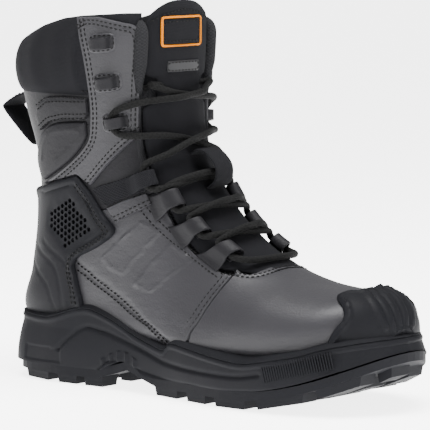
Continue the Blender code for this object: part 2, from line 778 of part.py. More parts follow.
def arch(x):
    middle = graded(ARCH_MIDDLE, 0, 0).x
    reach = ARCH_HALF * MM * STRETCH_X
    share = max(0.0, 1 - ((x - middle) / reach) ** 2)
    return ARCH_RISE * MM * share * share


def sole_slab(name, low, high, inset):
    """Slab over the plan of the sole between two height rules."""
    bm = bmesh.new()
    rows = []
    for x, outer, inner in sole_rows(inset):
        rows.append([bm.verts.new(p) for p in (
            (x, outer, low(x)), (x, inner, low(x)), (x, inner, high(x)),
            (x, outer, high(x)))])
    bridge_all(bm, rows)
    bm.faces.new(rows[0])
    bm.faces.new(rows[-1])
    return finish_mesh(name, bm)


def edge_at(x, side):
    """Half width of the sole at a place in mm, on the design scale."""
    line = smooth_line(SOLE_PLAN)
    column = 1 if side == "lateral" else 2
    for before, after in zip(line, line[1:]):
        if before[0] <= x <= after[0]:
            share = (x - before[0]) / (after[0] - before[0])
            return abs(before[column]
                       + share * (after[column] - before[column]))
    return 0.0


def add_lug(bm, corners):
    """Tapered block from the ground up into the outsole."""
    middle = sum((Vector(c) for c in corners), Vector((0, 0))) / len(corners)
    rings = []
    for top in (False, True):
        ring = []
        for corner in corners:
            x, y = Vector(corner) if top else middle.lerp(Vector(corner), .9)
            place = graded(x, y, 0)
            rise = underside(place.x) + 1 * MM if top else spring(place.x)
            ring.append(bm.verts.new((place.x, place.y, rise)))
        rings.append(ring)
    bridge(bm, *rings)
    bm.faces.new(rings[0])
    bm.faces.new(rings[1])


def lugs():
    bm = bmesh.new()
    for start, end in LUGS:
        for side, sign in SIDES.items():
            outer_start = edge_at(start, side) - LUG_INSET
            outer_end = edge_at(end, side) - LUG_INSET
            inner = min(outer_start, outer_end) - LUG_REACH
            add_lug(bm, [(start, sign * inner), (end, sign * inner),
                         (end, sign * outer_end), (start, sign * outer_start)])
    for start, end, half in CENTRE_LUGS:
        add_lug(bm, [(start, -half), (end, -half), (end, half),
                     (start, half)])
    return add_cutter("lugs", finish_mesh("lugs", bm))


def sole_parts():
    web = SOLE_HEIGHT - LUG_DEPTH
    outsole = add_part("outsole", sole_slab(
        "outsole", underside, lambda x: underside(x) + web, 2.5 * MM),
        "rubber")
    boolean(outsole, lugs(), "UNION")
    midsole = add_part("midsole", sole_slab(
        "midsole", lambda x: underside(x) + web + GAP, lambda x: 75 * MM,
        0.0), "rubber")
    foot_space = add_cutter("foot_space", solid_over_skin(
        "foot_space", GAP, 4))
    pocket = add_cutter("shank_pocket", solid_over_skin(
        "shank_pocket", 3 * GAP + SHANK, 5))
    channel = block("shank_channel",
                    Vector((-32 * MM, -SHANK_WIDTH / 2 - GAP, 0)),
                    Vector((104 * MM, SHANK_WIDTH / 2 + GAP, 60 * MM)))
    keep = prism("channel_floor", below(FLOOR_LINE, -4 * MM), -FAR, FAR)
    boolean(pocket, channel, "INTERSECT")
    boolean(pocket, keep, "INTERSECT")
    over_edge = prism("over_edge", above(SOLE_EDGE), -FAR, FAR)
    cut_away(midsole, foot_space, over_edge, pocket)
    shank = add_part("shank", shell_mesh(
        "shank", 2 * GAP + SHANK, 2 * GAP, 5), "steel")
    bed = block("shank_zone", Vector((-31 * MM, -SHANK_WIDTH / 2, 0)),
                Vector((103 * MM, SHANK_WIDTH / 2, 60 * MM)))
    keep_inside(shank, bed, keep)


# ----------------------------------------------------------------- joints ----
def hang_on(empty_name, place, *names):
    """Parent moving pieces to an empty on their joint's axis."""
    empty = bpy.data.objects.new(empty_name, None)
    empty.location = place
    CUTTERS.objects.link(empty)
    for name in names:
        part = bpy.data.objects[name]
        part.parent = empty
        part.matrix_parent_inverse = Matrix.Translation(place).inverted()


def row_at_height(z):
    """Row of the last whose front is at this height on the shaft, by halves."""
    low, high = 0.0, float(ANKLE_ROW)
    while high - low > 1e-4:
        middle = (low + high) / 2
        if skin_point(middle, 0.0).z > z:
            low = middle
        else:
            high = middle
    return low


def hinges():
    front = skin_frame(row_at_height(HINGE_HEIGHT), 0.0, -TONGUE / 2)[0]
    hang_on("tongue_hinge", (front.x, 0, HINGE_HEIGHT), "tongue_top",
            "tongue_patch_frame", "tongue_tag")
    seam_x, seam_z = PULL_PATH[0]
    hang_on("pull_loop_hinge", graded(seam_x, 0, seam_z), "pull_loop")


clear_scene()
PARTS = make_collection("steel_toe_boot")
CUTTERS = make_collection("cutters")
upper_layers()
tongue_parts()
lining_parts()
overlays()
lace_holders()
webbing_loops()
laces()
sole_parts()
hinges()
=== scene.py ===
"""Fine surfaces, stitching, laces and soft parts of a steel toe work boot.

Everything sits on the same lofted surface as the solid parts: a place on the
boot is a row down the last and a turn in degrees around it, 0 at the front,
90 on the outer side and 180 at the back.
"""

import math

import bmesh
import bpy
import numpy as np
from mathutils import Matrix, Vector
from mathutils.geometry import delaunay_2d_cdt


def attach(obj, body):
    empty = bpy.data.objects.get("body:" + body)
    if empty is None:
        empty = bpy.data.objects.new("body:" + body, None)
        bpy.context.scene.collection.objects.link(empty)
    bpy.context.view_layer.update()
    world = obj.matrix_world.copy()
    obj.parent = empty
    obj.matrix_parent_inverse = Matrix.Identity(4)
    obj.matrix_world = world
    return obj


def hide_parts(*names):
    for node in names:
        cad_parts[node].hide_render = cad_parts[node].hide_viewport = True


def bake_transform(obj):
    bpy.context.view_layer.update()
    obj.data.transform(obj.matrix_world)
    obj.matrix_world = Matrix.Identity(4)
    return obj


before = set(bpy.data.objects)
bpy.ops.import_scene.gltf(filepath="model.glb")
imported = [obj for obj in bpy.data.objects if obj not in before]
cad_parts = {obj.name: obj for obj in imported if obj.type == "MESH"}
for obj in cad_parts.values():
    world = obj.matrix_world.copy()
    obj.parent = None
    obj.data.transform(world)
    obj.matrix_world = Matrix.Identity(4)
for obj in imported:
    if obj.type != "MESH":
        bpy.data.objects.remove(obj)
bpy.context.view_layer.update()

bl_info = {
    "name": "Work Boot Detail",
    "version": (1, 0, 0),
    "blender": (4, 5, 0),
    "location": "3D View > Sidebar > Boot",
    "description": "Leather, textile, laces and sole of a laced work boot",
    "category": "Object",
}

MM = 0.001
SIDES = {"lateral": 1, "medial": -1}     # sign of the turn on that side

# Rings of the last in mm, from the top of the shaft to the tip of the toe:
# front x and z, back x and z, share of the depth at the widest place, half
# width outside and inside, roundness of front and back, shift to the inside.
LAST = np.array([
    (66, 262, -56, 252, .50, 50, 50, 3.0, 2.5, 0),
    (66, 234, -65, 222, .50, 51, 51, 3.0, 2.5, 0),
    (65, 203, -59, 186, .50, 48, 48, 3.0, 2.5, 0),
    (68, 173, -49, 150, .48, 44, 44, 3.0, 2.5, 0),
    (78, 149, -46, 110, .45, 43, 42, 3.0, 2.6, 0),
    (94, 130, -50, 72, .41, 44, 41, 2.9, 2.7, 0),
    (113, 113, -53, 42, .37, 44, 41, 2.8, 2.9, 0),
    (134, 98, 0, 32, .34, 44, 42, 2.7, 3.0, 0),
    (157, 86, 62, 28, .32, 49, 45, 2.6, 3.0, 1),
    (181, 79, 122, 26, .32, 55, 48, 2.5, 3.0, 1),
    (204, 76, 172, 27, .32, 54, 50, 2.4, 3.0, 2),
    (221, 74.5, 208, 31, .33, 47, 45, 2.5, 3.0, 3),
    (232, 69.5, 226, 35, .34, 36, 35, 2.6, 3.0, 4),
    (240.5, 60, 237.5, 37, .36, 23, 23, 2.5, 2.8, 5),
    (244, 49, 243, 42, .45, 8, 8, 2.2, 2.4, 5),
])
TIP = len(LAST) - 1
ROWS = np.vstack([2 * LAST[0] - LAST[1], LAST, 2 * LAST[-1] - LAST[-2]])
PAPER = np.array([23.0, 0.82])   # mm along one row and one degree, roughly

GAP = 0.35                       # mm left between two layers
LEATHER, COLLAR, TONGUE = 2.0, 9.0, 3.9         # thicknesses in mm
OVERLAY, COUNTER, BUMPER = 1.7, 2.6, 3.2
LACE = 4.6 * MM                  # diameter of the lace
TONGUE_HALF = 33.0               # half the width of the lacing opening, mm
CRISP = math.radians(48)         # a sharper fold than this stays crisp
NO_EDGE = 5.0                    # edge attribute of a piece without edges
GROOVE, RIDGE = (-0.4, 0.75), (0.5, 0.6)        # height and reach in mm

# Spacing in mm of the points of a panel: on its edge, on the lines that run
# over it, beside both, and from one row of its triangles to the next.
EDGE_STEP, LINE_STEP, SEAM_STEP = 1.3, 1.5, 1.2
EDGE_FLANKS, LINE_FLANKS = (-0.5, 0.5, -1.2, 1.2), (-0.9, 0.9)
ROW_DROP = 0.866

TREAD_TOP = 12.2                 # mm; lower edge of the sole's side wall
TOE_SPRING, SPRING_START, SPRING_LENGTH = 28, 150, 102
ARCH_RISE, ARCH_MIDDLE, ARCH_HALF = 8, 53, 24
SOLE_LIP = [(-0.6, 0.55), (0.4, 0.9), (1.6, 1.4), (3.5, 2.2), (8.0, 3.2),
            (15.0, 5.0), (16.0, -8.0), (16.0, -14)]  # inset and rise
SOLE_WALL = 15                   # mm; thickness at its lower edge
RIB_START, RIB_END = 184, 229    # mm along the boot
RIB_FOOT, RIB_SLOPE = 26.5, 0.26
HOLE_PITCH, HOLE_RADIUS = 4.1, 1.6     # mm, in the ankle grille

FLOOR_SIZE, FLOOR_GLOW, AIR_GLOW = 60, 4.2, 0.55
LIGHTS = [
    ("overhead_softbox", (0.25, -0.15, 1.5), (1.3, 0.9), 80),
    ("left_softbox", (-0.6, -1.5, 0.9), (0.9, 1.1), 3.5),
    ("right_softbox", (1.7, -0.3, 0.8), (0.8, 1.0), 11),
]
LIGHTS_AIM = (0.1, 0, 0.1)
CAMERA_PLACE = (1.517, -1.707, 0.349)
CAMERA_BACK = (0.63568, -0.76567, 0.09828)   # from the boot to the camera
CAMERA_LENS, CAMERA_SHIFT = 280.2, (-0.0181, -0.0421)

SOLE_PLAN = [
    (-64, 0, 0), (-61, -18, 18), (-54, -33, 32), (-41, -43, 42),
    (-20, -48, 46), (0, -49, 46), (40, -47, 45), (80, -50, 46),
    (120, -58, 49), (155, -62, 54), (190, -60, 57), (224, -49, 49),
    (240, -34, 36), (249, -17, 21), (252, 3, 3),
]
SOLE_EDGE = [
    (-80, 45), (-56, 45), (-28, 44), (-12, 45), (8, 51), (20, 53), (30, 51),
    (45, 46), (62, 39), (80, 34), (93, 32), (99, 37), (115, 36), (140, 33),
    (165, 31), (185, 34), (205, 38), (225, 44), (246, 48), (280, 51),
]
COLLAR_RIM = [
    (-90, 230), (-58, 231), (-40, 236), (-20, 243), (0, 248), (16, 250),
    (50, 252), (110, 252),
]
FACING_REAR = [
    (16, 249), (18, 236), (21, 222), (23, 205), (24, 190), (23, 178),
    (21, 168), (15, 160), (4, 151), (-10, 142), (-24, 135)]
VAMP_SEAM = [(7.60, 40), (7.86, 52), (8.13, 66), (8.34, 80), (8.52, 102),
             (8.56, 118), (8.58, 128)]
THROAT = [(7.44, 35), (7.65, 35), (7.76, 33), (7.80, 29), (7.78, 22),
          (7.72, 12), (7.69, 0)]
LACE_ROW = [(4.44, 49), (4.80, 48), (5.29, 45), (5.79, 42), (6.36, 40),
            (6.85, 40), (7.42, 40)]
COUNTER_FRONT = [(9, 142), (21, 131), (33, 117), (42, 109), (40, 103),
                 (26, 94), (8, 85), (9, 75), (13, 61), (17, 46)]
GRILLE = [(2, 127), (12, 117), (21, 107), (12, 98), (2, 92), (-7, 101),
          (-13, 107), (-11, 118)]

TABS = [(6.95, 31), (5.92, 34.3), (4.9, 37.8)]
EYE = (4.15, 46)
HOOKS = [(2.63, 56), (1.79, 58), (0.96, 60)]
LOW, HIGH = 3.2, 8.4             # crossing strands over the skin, in mm
LACE_TIP = [(0, 1.9), (1, 1.62), (1.5, 1.7), (2, 1.6), (8, 1.6), (14, 1.55),
            (18.5, 1.6), (19.5, 1.4), (20, 0.9)]     # place and radius
BRAID_PITCH, BRAID_STARTS = 0.0032, 4
COLLAR_FOOT = 196.5              # mm; height of the collar's lower edge

# Section of the collar: share of the way up, and mm over the skin.
COLLAR_PROFILE = [
    (0.0, -0.2), (0.03, 0.7), (0.10, 1.9), (0.22, 2.7), (0.40, 2.7),
    (0.58, 1.9), (0.75, 0.5), (0.88, -1.0), (0.96, -2.6), (1.0, -4.2),
    (1.0, -5.6), (0.99, -7.2), (0.95, -8.6), (0.86, -9.6), (0.7, -10.0),
    (0.5, -10.1), (0.3, -9.9), (0.15, -9.6), (0.04, -9.2), (0.0, -8.6)]
TAIL_ROUTE = [
    (54, 28, 201.5), (48.5, 28, 199.5), (44.3, 28.5, 190),
    (43, 29, 174), (42.5, 29, 156), (42, 28.5, 136), (42, 28, 116),
    (42, 27.5, 96), (43, 27, 78), (47, 26, 62), (57, 24.5, 51.5),
    (71, 23, 48.5), (86, 22, 48), (101, 21, 48)]


# ------------------------------------------------------------- settings ----
class BootSizes(bpy.types.PropertyGroup):
    """Sizes of the fine work on the boot."""
    stitch_length: bpy.props.FloatProperty(
        name="Stitch", description="Length of one stitch", default=2.3 * MM,
        unit="LENGTH")
    stitch_gap: bpy.props.FloatProperty(
        name="Stitch Spacing", description="From one stitch to the next",
        default=3.3 * MM, unit="LENGTH")
    thread: bpy.props.FloatProperty(
        name="Thread", description="Diameter of the sewing thread",
        default=1.0 * MM, unit="LENGTH")
    grain: bpy.props.FloatProperty(
        name="Leather Grain", description="Size of a cell of the grain",
        default=1.3 * MM, unit="LENGTH")
    rib_gap: bpy.props.FloatProperty(
        name="Sole Ribs", description="From one sole rib to the next",
        default=1.7 * MM, unit="LENGTH")


class BootColours(bpy.types.PropertyGroup):
    """Colours of the boot's materials."""
    leather: bpy.props.FloatVectorProperty(
        name="Leather", description="Colour of the leather",
        default=(0.0185, 0.0180, 0.0204), subtype="COLOR")
    textile: bpy.props.FloatVectorProperty(
        name="Textile", description="Colour of the woven parts",
        default=(0.0065, 0.0065, 0.0075), subtype="COLOR")
    rubber: bpy.props.FloatVectorProperty(
        name="Rubber", description="Colour of the sole and covers",
        default=(0.0065, 0.0066, 0.0078), subtype="COLOR")
    lace: bpy.props.FloatVectorProperty(
        name="Lace", description="Colour of the laces",
        default=(0.0050, 0.0050, 0.0050), subtype="COLOR")
    accent: bpy.props.FloatVectorProperty(
        name="Edging", description="Colour of the patch's edging",
        default=(0.42, 0.125, 0.005), subtype="COLOR")


# -------------------------------------------------------------- surface ----
def last_at(row):
    place = np.clip(np.floor(row), 0, TIP - 1).astype(int)
    t = (row - place)[..., None]
    a, b, c, d = (ROWS[place + k] for k in range(4))
    return b + 0.5 * t * (c - a + t * (2 * a - 5 * b + 4 * c - d
                                       + t * (3 * (b - c) + d - a)))


def skin(row, turn):
    """Points in mm of the upper's outer skin."""
    (front_x, front_z, back_x, back_z, share, outer, inner, front_round,
     back_round, shift) = np.moveaxis(last_at(row), -1, 0)
    cosine, sine = np.cos(np.radians(turn)), np.sin(np.radians(turn))
    power = np.where(cosine > 0, front_round, back_round)
    reach = (np.abs(cosine) ** power + np.abs(sine) ** power) ** (-1 / power)
    depth = np.where(cosine > 0, 1 - share, share) * cosine * reach
    width = np.where(sine > 0, outer, inner) * sine * reach
    return np.stack([back_x + (front_x - back_x) * (share + depth),
                     shift - width,
                     back_z + (front_z - back_z) * (share + depth)], -1)


def unit(vectors):
    """Vectors brought to a length of 1."""
    return vectors / np.linalg.norm(vectors, axis=-1, keepdims=True)


def surface(row, turn, lift=0.0):
    """Points in mm over the skin, their normals and the way up the boot."""
    row, turn, lift = np.broadcast_arrays(
        *(np.asarray(v, float) for v in (row, turn, lift)))
    step = 0.002
    down = (skin(np.minimum(row + step, TIP), turn)
            - skin(np.maximum(row - step, 0), turn))
    around = skin(row, turn + 0.1) - skin(row, turn - 0.1)
    normal = unit(np.cross(around, down))
    return skin(row, turn) + normal * lift[..., None], normal, -unit(down)


def spans(row, turn):
    """Length in mm of one degree of turn and of one row at a place."""
    here = surface(row, turn)[0]
    return (np.linalg.norm(surface(row, turn + 1)[0] - here),
            np.linalg.norm(surface(row + 0.1, turn)[0] - here) * 10)


def find_places(targets, axes, turns):
    """Rows and turns of points that are given by two coordinates in mm."""
    targets = np.array(targets, float)
    rows, around = np.meshgrid(np.linspace(0, TIP, 85),
                               np.linspace(*turns, 90), indexing="ij")
    grid = skin(rows, around)[..., axes].reshape(-1, 2)
    nearest = ((grid[None] - targets[:, None]) ** 2).sum(-1).argmin(1)
    place = np.stack([rows.ravel()[nearest], around.ravel()[nearest]], 1)
    for _ in range(10):
        here = skin(place[:, 0], place[:, 1])[:, axes]
        by_row = (skin(place[:, 0] + 0.01, place[:, 1])[:, axes] - here) * 100
        by_turn = skin(place[:, 0], place[:, 1] + 0.5)[:, axes] - here
        matrix = np.stack([by_row, by_turn * 2], -1) + np.eye(2) * 1e-6
        miss = (targets - here)[..., None]
        step = np.linalg.solve(matrix, miss)[..., 0]
        place[:, 0] += np.clip(step[:, 0], -0.3, 0.3)
        place[:, 1] += np.clip(step[:, 1], -5, 5)
        place[:, 0] = np.clip(place[:, 0], 0, TIP)
        place[:, 1] = np.clip(place[:, 1], *turns)
    return place


def from_side(points):
    """Places on the outer side for points of the side view, x and z."""
    return find_places(points, (0, 2), (3, 177))


def from_front(points):
    """Places on the front of the shaft for points seen as y and z."""
    return find_places(points, (1, 2), (-70, 70))


def mirrored(places):
    """The same places on the other side."""
    return np.array(places, float) * (1, -1)


def smooth(points, steps=6):
    """Smooth curve through points of any dimension."""
    points = np.array(points, float)
    knots = np.vstack([2 * points[0] - points[1], points,
                       2 * points[-1] - points[-2]])
    t = (np.arange(steps) / steps)[:, None]
    line = []
    for a, b, c, d in zip(knots, knots[1:], knots[2:], knots[3:]):
        line.append(b + 0.5 * t * (c - a + t * (2 * a - 5 * b + 4 * c - d
                                               + t * (3 * (b - c) + d - a))))
    return np.vstack(line + [points[-1:]])


def even(points, spacing, scale=1.0):
    """Points at even spacing along a line, measured after scaling."""
    points = np.array(points, float)
    lengths = np.linalg.norm(np.diff(points * scale, axis=0), axis=1)
    along = np.concatenate([[0], np.cumsum(lengths)])
    count = max(int(round(along[-1] / spacing)), 1)
    wanted = np.linspace(0, along[-1], count + 1)
    return np.stack([np.interp(wanted, along, points[:, k])
                     for k in range(points.shape[1])], 1)


def beside(line, distance):
    """A line of places moved sideways by a distance in mm."""
    paper = np.array(line, float) * PAPER
    ahead = np.gradient(paper, axis=0)
    side = unit(np.stack([-ahead[:, 1], ahead[:, 0]], 1))
    return (paper + side * distance) / PAPER


def turn_at_width(row, half):
    """Turn on the front where the skin is this far off the middle, in mm."""
    turns = np.linspace(0, 80, 321)
    widths = -skin(np.full(321, float(row)), turns)[:, 1]
    return float(np.interp(half, widths[:300], turns[:300]))


def opening_edge(first, last, half=TONGUE_HALF + 0.2, count=24):
    """Edge of the lacing opening between two rows, from the first one."""
    return np.array([(row, turn_at_width(row, half))
                     for row in np.linspace(first, last, count)])


def dome(share):
    """Quarter circle: 0 at the edge, 1 from a full share on."""
    return np.sqrt(1 - (1 - share) ** 2)


# ------------------------------------------------------------- materials ----
def put(tree, kind, inputs=None, **settings):
    """Add a node; an input is a value or the socket that feeds it."""
    made = tree.nodes.new(kind)
    for name, value in settings.items():
        setattr(made, name, value)
    for name, value in (inputs or {}).items():
        socket = made.inputs[name]
        if isinstance(value, bpy.types.NodeSocket):
            tree.links.new(value, socket)
        else:
            socket.default_value = value
    return made


def calculate(tree, operation, *values):
    """Math node on values or sockets."""
    inputs = dict(enumerate(values))
    return put(tree, "ShaderNodeMath", inputs, operation=operation).outputs[0]


def rgba(colour, gain=1.0):
    """Colour made lighter or darker, with its alpha."""
    return (*(min(channel * gain, 1.0) for channel in colour), 1.0)


def ramp(tree, value, low, high):
    """Value brought from the span low to high onto 0 to 1."""
    return put(tree, "ShaderNodeMapRange", {
        "Value": value, "From Min": low, "From Max": high}).outputs[0]


def mixed(tree, *parts):
    """Sum of sockets, each given with its share."""
    total = None
    for socket, share in parts:
        part = calculate(tree, "MULTIPLY", socket, share)
        total = part if total is None else calculate(tree, "ADD", total,
                                                     part)
    return total


def wave(tree, socket, pitch):
    """Sine of a socket, one wave for each pitch."""
    return calculate(tree, "SINE", calculate(tree, "MULTIPLY", socket,
                                             2 * math.pi / pitch))


def near_edge(tree, reach):
    """1 at the edge of a panel, 0 from this many mm inside it."""
    edge = put(tree, "ShaderNodeAttribute", attribute_name="edge")
    return ramp(tree, edge.outputs["Fac"], reach, 0.0)


def noise(tree, where, size, detail=3.0, stretch=(1, 1, 1)):
    """Noise whose lumps have about this size in metres."""
    mapping = put(tree, "ShaderNodeMapping",
                  {"Vector": where, "Scale": [s / size for s in stretch]})
    return put(tree, "ShaderNodeTexNoise", {
        "Vector": mapping.outputs[0], "Scale": 1.0,
        "Detail": detail}).outputs["Fac"]


def begin(name, specular=0.5, metallic=0.0, sheen=0.0):
    material = bpy.data.materials.new(name)
    material.use_nodes = True
    tree = material.node_tree
    shader = tree.nodes["Principled BSDF"]
    shader.inputs["Metallic"].default_value = metallic
    shader.inputs["Specular IOR Level"].default_value = specular
    shader.inputs["Sheen Weight"].default_value = sheen
    where = put(tree, "ShaderNodeTexCoord")
    return material, tree, shader, where


def colour_between(tree, shader, factor, dark, light):
    """Base colour that goes from dark to light with a factor."""
    mix = put(tree, "ShaderNodeMix", data_type="RGBA")
    tree.links.new(factor, mix.inputs[0])
    mix.inputs[6].default_value = dark
    mix.inputs[7].default_value = light
    tree.links.new(mix.outputs[2], shader.inputs["Base Color"])


def roughness_between(tree, shader, value, low, high, first=0.0, last=1.0):
    """Roughness from low to high as a value goes from first to last."""
    worn = put(tree, "ShaderNodeMapRange", {
        "Value": value, "From Min": first, "From Max": last,
        "To Min": low, "To Max": high})
    tree.links.new(worn.outputs[0], shader.inputs["Roughness"])


def bumps(tree, shader, *layers):
    """Bump layers, each a height socket and its depth in metres."""
    before = None
    for height, depth in layers:
        bump = put(tree, "ShaderNodeBump", {
            "Height": height, "Distance": depth, "Strength": 1.0})
        if before is not None:
            tree.links.new(before, bump.inputs["Normal"])
        before = bump.outputs[0]
    tree.links.new(before, shader.inputs["Normal"])


def leather_material(name, colour, grain, crease=1.0, gloss=0.43,
                     specular=0.19):
    """Full grain leather: fine cells, pores, soft creases, rubbed edges."""
    material, tree, shader, where = begin(name, specular)
    place = where.outputs["Object"]
    cells = put(tree, "ShaderNodeTexVoronoi", {
        "Vector": place, "Scale": 1 / grain}, feature="SMOOTH_F1")
    fine = noise(tree, place, grain * 0.5, 4)
    folds = noise(tree, place, 0.012, 3, (1, 1, 2.4))
    patches = noise(tree, place, 0.045, 2)
    tone = mixed(tree, (patches, 0.75), (near_edge(tree, 2.2), 0.25))
    colour_between(tree, shader, tone, rgba(colour, 0.72),
                   rgba(colour, 1.35))
    dull = mixed(tree, (patches, 0.6), (cells.outputs["Distance"], 0.5))
    roughness_between(tree, shader, dull, gloss - 0.07, gloss + 0.1,
                      0.2, 0.9)
    bumps(tree, shader, (cells.outputs["Distance"], 0.00010),
          (fine, 0.00006), (folds, 0.00025 * crease))
    return material


def woven_material(name, colour, pitch, depth=0.00012, rough=0.82, slant=0.0,
                   sheen=0.01):
    """Cloth with threads crossing at a pitch in metres, on the UV map."""
    material, tree, shader, where = begin(name, 0.03, sheen=sheen)
    mapping = put(tree, "ShaderNodeMapping", {
        "Vector": where.outputs["UV"], "Rotation": (0, 0, slant)})
    axes = put(tree, "ShaderNodeSeparateXYZ",
               {"Vector": mapping.outputs[0]}).outputs
    crossing = calculate(tree, "MULTIPLY", wave(tree, axes[0], pitch),
                         wave(tree, axes[1], pitch))
    height = ramp(tree, crossing, -1.0, 1.0)
    fuzz = noise(tree, where.outputs["Object"], 0.0006, 3)
    wear = noise(tree, where.outputs["Object"], 0.030, 3)
    tone = mixed(tree, (height, 0.6), (wear, 0.4))
    colour_between(tree, shader, tone, rgba(colour, 0.55), rgba(colour, 1.5))
    shader.inputs["Roughness"].default_value = rough
    bumps(tree, shader, (height, depth), (fuzz, 0.00008), (wear, 0.0008))
    return material


def braid_material(name, colour):
    """Round braid: strands winding both ways along the UV map."""
    material, tree, shader, where = begin(name, 0.05, sheen=0.01)
    axes = put(tree, "ShaderNodeSeparateXYZ",
               {"Vector": where.outputs["UV"]}).outputs
    along = calculate(tree, "MULTIPLY", axes[0], 2 * math.pi / BRAID_PITCH)
    around = calculate(tree, "MULTIPLY", axes[1], 2 * math.pi * BRAID_STARTS)
    right = calculate(tree, "SINE", calculate(tree, "ADD", along, around))
    left = calculate(tree, "SINE", calculate(tree, "SUBTRACT", along, around))
    height = calculate(tree, "MAXIMUM", right, left)
    scaled = ramp(tree, height, -0.6, 1.0)
    fuzz = noise(tree, where.outputs["Object"], 0.0005, 2)
    colour_between(tree, shader, scaled, rgba(colour, 0.75),
                   rgba(colour, 1.15))
    shader.inputs["Roughness"].default_value = 0.75
    bumps(tree, shader, (scaled, 0.00018), (fuzz, 0.00006))
    return material


def rubber_material(name, colour, rough=0.56, texture=0.0009):
    """Moulded rubber with a fine spark eroded surface."""
    material, tree, shader, where = begin(name, 0.045)
    place = where.outputs["Object"]
    fine = noise(tree, place, texture, 4)
    patches = noise(tree, place, 0.030, 3)
    tone = mixed(tree, (patches, 0.8), (near_edge(tree, 1.5), 0.2))
    colour_between(tree, shader, tone, rgba(colour, 0.8), rgba(colour, 1.3))
    roughness_between(tree, shader, patches, rough - 0.05, rough + 0.07,
                      0.3, 0.7)
    bumps(tree, shader, (fine, 0.00009))
    return material


def sheet_material(name, colour, rough, metallic, size, depth):
    """Plain worked sheet: brushed steel, fibre board or smooth plastic."""
    material, tree, shader, where = begin(name, 0.5 if metallic else 0.1,
                                          metallic)
    place = where.outputs["Object"]
    streaks = noise(tree, place, size, 4, (0.15, 1, 1))
    patches = noise(tree, place, 0.025, 3)
    colour_between(tree, shader, patches, rgba(colour, 0.85),
                   rgba(colour, 1.1))
    roughness_between(tree, shader, streaks, rough - 0.08, rough + 0.08)
    bumps(tree, shader, (streaks, depth))
    return material


FINISH = {}


def make_finishes(sizes, colours):
    """Fill the table of finishes."""
    FINISH.update({
        "leather": leather_material("full_grain_leather", colours.leather,
                                    sizes.grain),
        # The same leather at half its colour is painted shade for the shaft
        # panels, collar band and ankle cushion, which face away from the
        # light. The lace tabs and hook bars wear it too, and it is also
        # duller.
        "shaded_shaft_leather": leather_material("soft_leather_painted_shade",
                                          rgba(colours.leather, 0.5)[:3],
                                          sizes.grain, 1.3, 0.52, 0.08),
        "textile": woven_material("ripstop_textile", colours.textile,
                                  0.0011, slant=0.7),
        "webbing": woven_material("ribbed_webbing", colours.textile, 0.0016,
                                  0.00025, 0.78),
        "lining": woven_material("lining_knit", (0.012, 0.012, 0.013),
                                 0.0021, 0.0003, 0.9),
        "foam": woven_material("footbed_cover", (0.06, 0.06, 0.066), 0.0018,
                               0.0002, 0.9),
        "thread": rubber_material("sewing_thread", (0.006, 0.006, 0.006),
                                  0.62, 0.0004),
        "lace": braid_material("lace_braid", colours.lace),
        "rubber": rubber_material("sole_rubber", colours.rubber, 0.60),
        "moulding": rubber_material("cover_moulding", colours.rubber, 0.50),
        "hole": rubber_material("grille_backing", (0.004, 0.004, 0.004),
                                0.9),
        "accent": woven_material("orange_edging", colours.accent, 0.0009,
                                 0.0001, 0.6, sheen=0.0),
        "steel": sheet_material("pressed_steel", (0.50, 0.50, 0.51), 0.34,
                                1.0, 0.0006, 0.00003),
        "board": sheet_material("fibre_board", (0.55, 0.50, 0.40), 0.8, 0.0,
                                0.0015, 0.0002),
        "plastic": sheet_material("satin_plastic", (0.018, 0.018, 0.019),
                                  0.42, 0.0, 0.0008, 0.00004),
    })


def finish_piece(name, bm, finish, body="root", replaced=()):
    """Turn a bmesh in metres into a finished piece on a body."""
    bmesh.ops.recalc_face_normals(bm, faces=bm.faces)
    mesh = bpy.data.meshes.new(name)
    bm.to_mesh(mesh)
    bm.free()
    mesh.shade_smooth()
    mesh.set_sharp_from_angle(angle=CRISP)
    return finish_mesh(name, mesh, finish, body, replaced)


def finish_mesh(name, mesh, finish, body="root", replaced=()):
    """Give a mesh its finish, its body and the solids it stands for."""
    piece = bpy.data.objects.new(name, mesh)
    bpy.context.scene.collection.objects.link(piece)
    mesh.materials.clear()
    mesh.materials.append(FINISH[finish])
    if body:
        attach(piece, body)
    if replaced:
        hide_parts(*replaced)
    return piece


def weld(piece):
    """Join the points where a ring of faces meets its own start."""
    bm = bmesh.new()
    bm.from_mesh(piece.data)
    bmesh.ops.remove_doubles(bm, verts=bm.verts, dist=1e-6)
    bmesh.ops.recalc_face_normals(bm, faces=bm.faces)
    bm.to_mesh(piece.data)
    bm.free()


def inside(points, loop):
    """Which points lie inside a closed loop, all in the plane."""
    x, y = points[:, 0][:, None], points[:, 1][:, None]
    x0, y0 = loop[:, 0], loop[:, 1]
    x1, y1 = np.roll(x0, -1), np.roll(y0, -1)
    spans = (y0 > y) != (y1 > y)
    rise = np.where(y1 == y0, 1e-12, y1 - y0)
    crossing = x0 + (y - y0) * (x1 - x0) / rise
    return (spans & (x < crossing)).sum(1) % 2 == 1


def nearest(points, others):
    """Distance from each point to the closest of some other points."""
    best = np.full(len(points), 1e3)
    for start in range(0, len(others), 400):
        part = others[start:start + 400]
        gap = np.linalg.norm(points[:, None] - part[None], axis=-1)
        best = np.minimum(best, gap.min(1))
    return best


def chain_edges(chains):
    """Edges along chains of points that are stacked in this order."""
    edges, start = [], 0
    for chain, closed in chains:
        count = len(chain)
        edges.extend((start + k, start + (k + 1) % count)
                     for k in range(count if closed else count - 1))
        start += count
    return edges


def flanking(chain, closed, offsets, loop, fence):
    """Points beside a chain that are inside the loop and off the fence."""
    ahead = (np.roll(chain, -1, 0) - np.roll(chain, 1, 0) if closed
             else np.gradient(chain, axis=0))
    side = unit(np.stack([-ahead[:, 1], ahead[:, 0]], 1) + 1e-12)
    kept = []
    for offset in offsets:
        moved = chain + side * offset
        moved = moved[inside(moved, loop)]
        kept.append(moved[nearest(moved, fence) > abs(offset) * 0.85])
    return kept


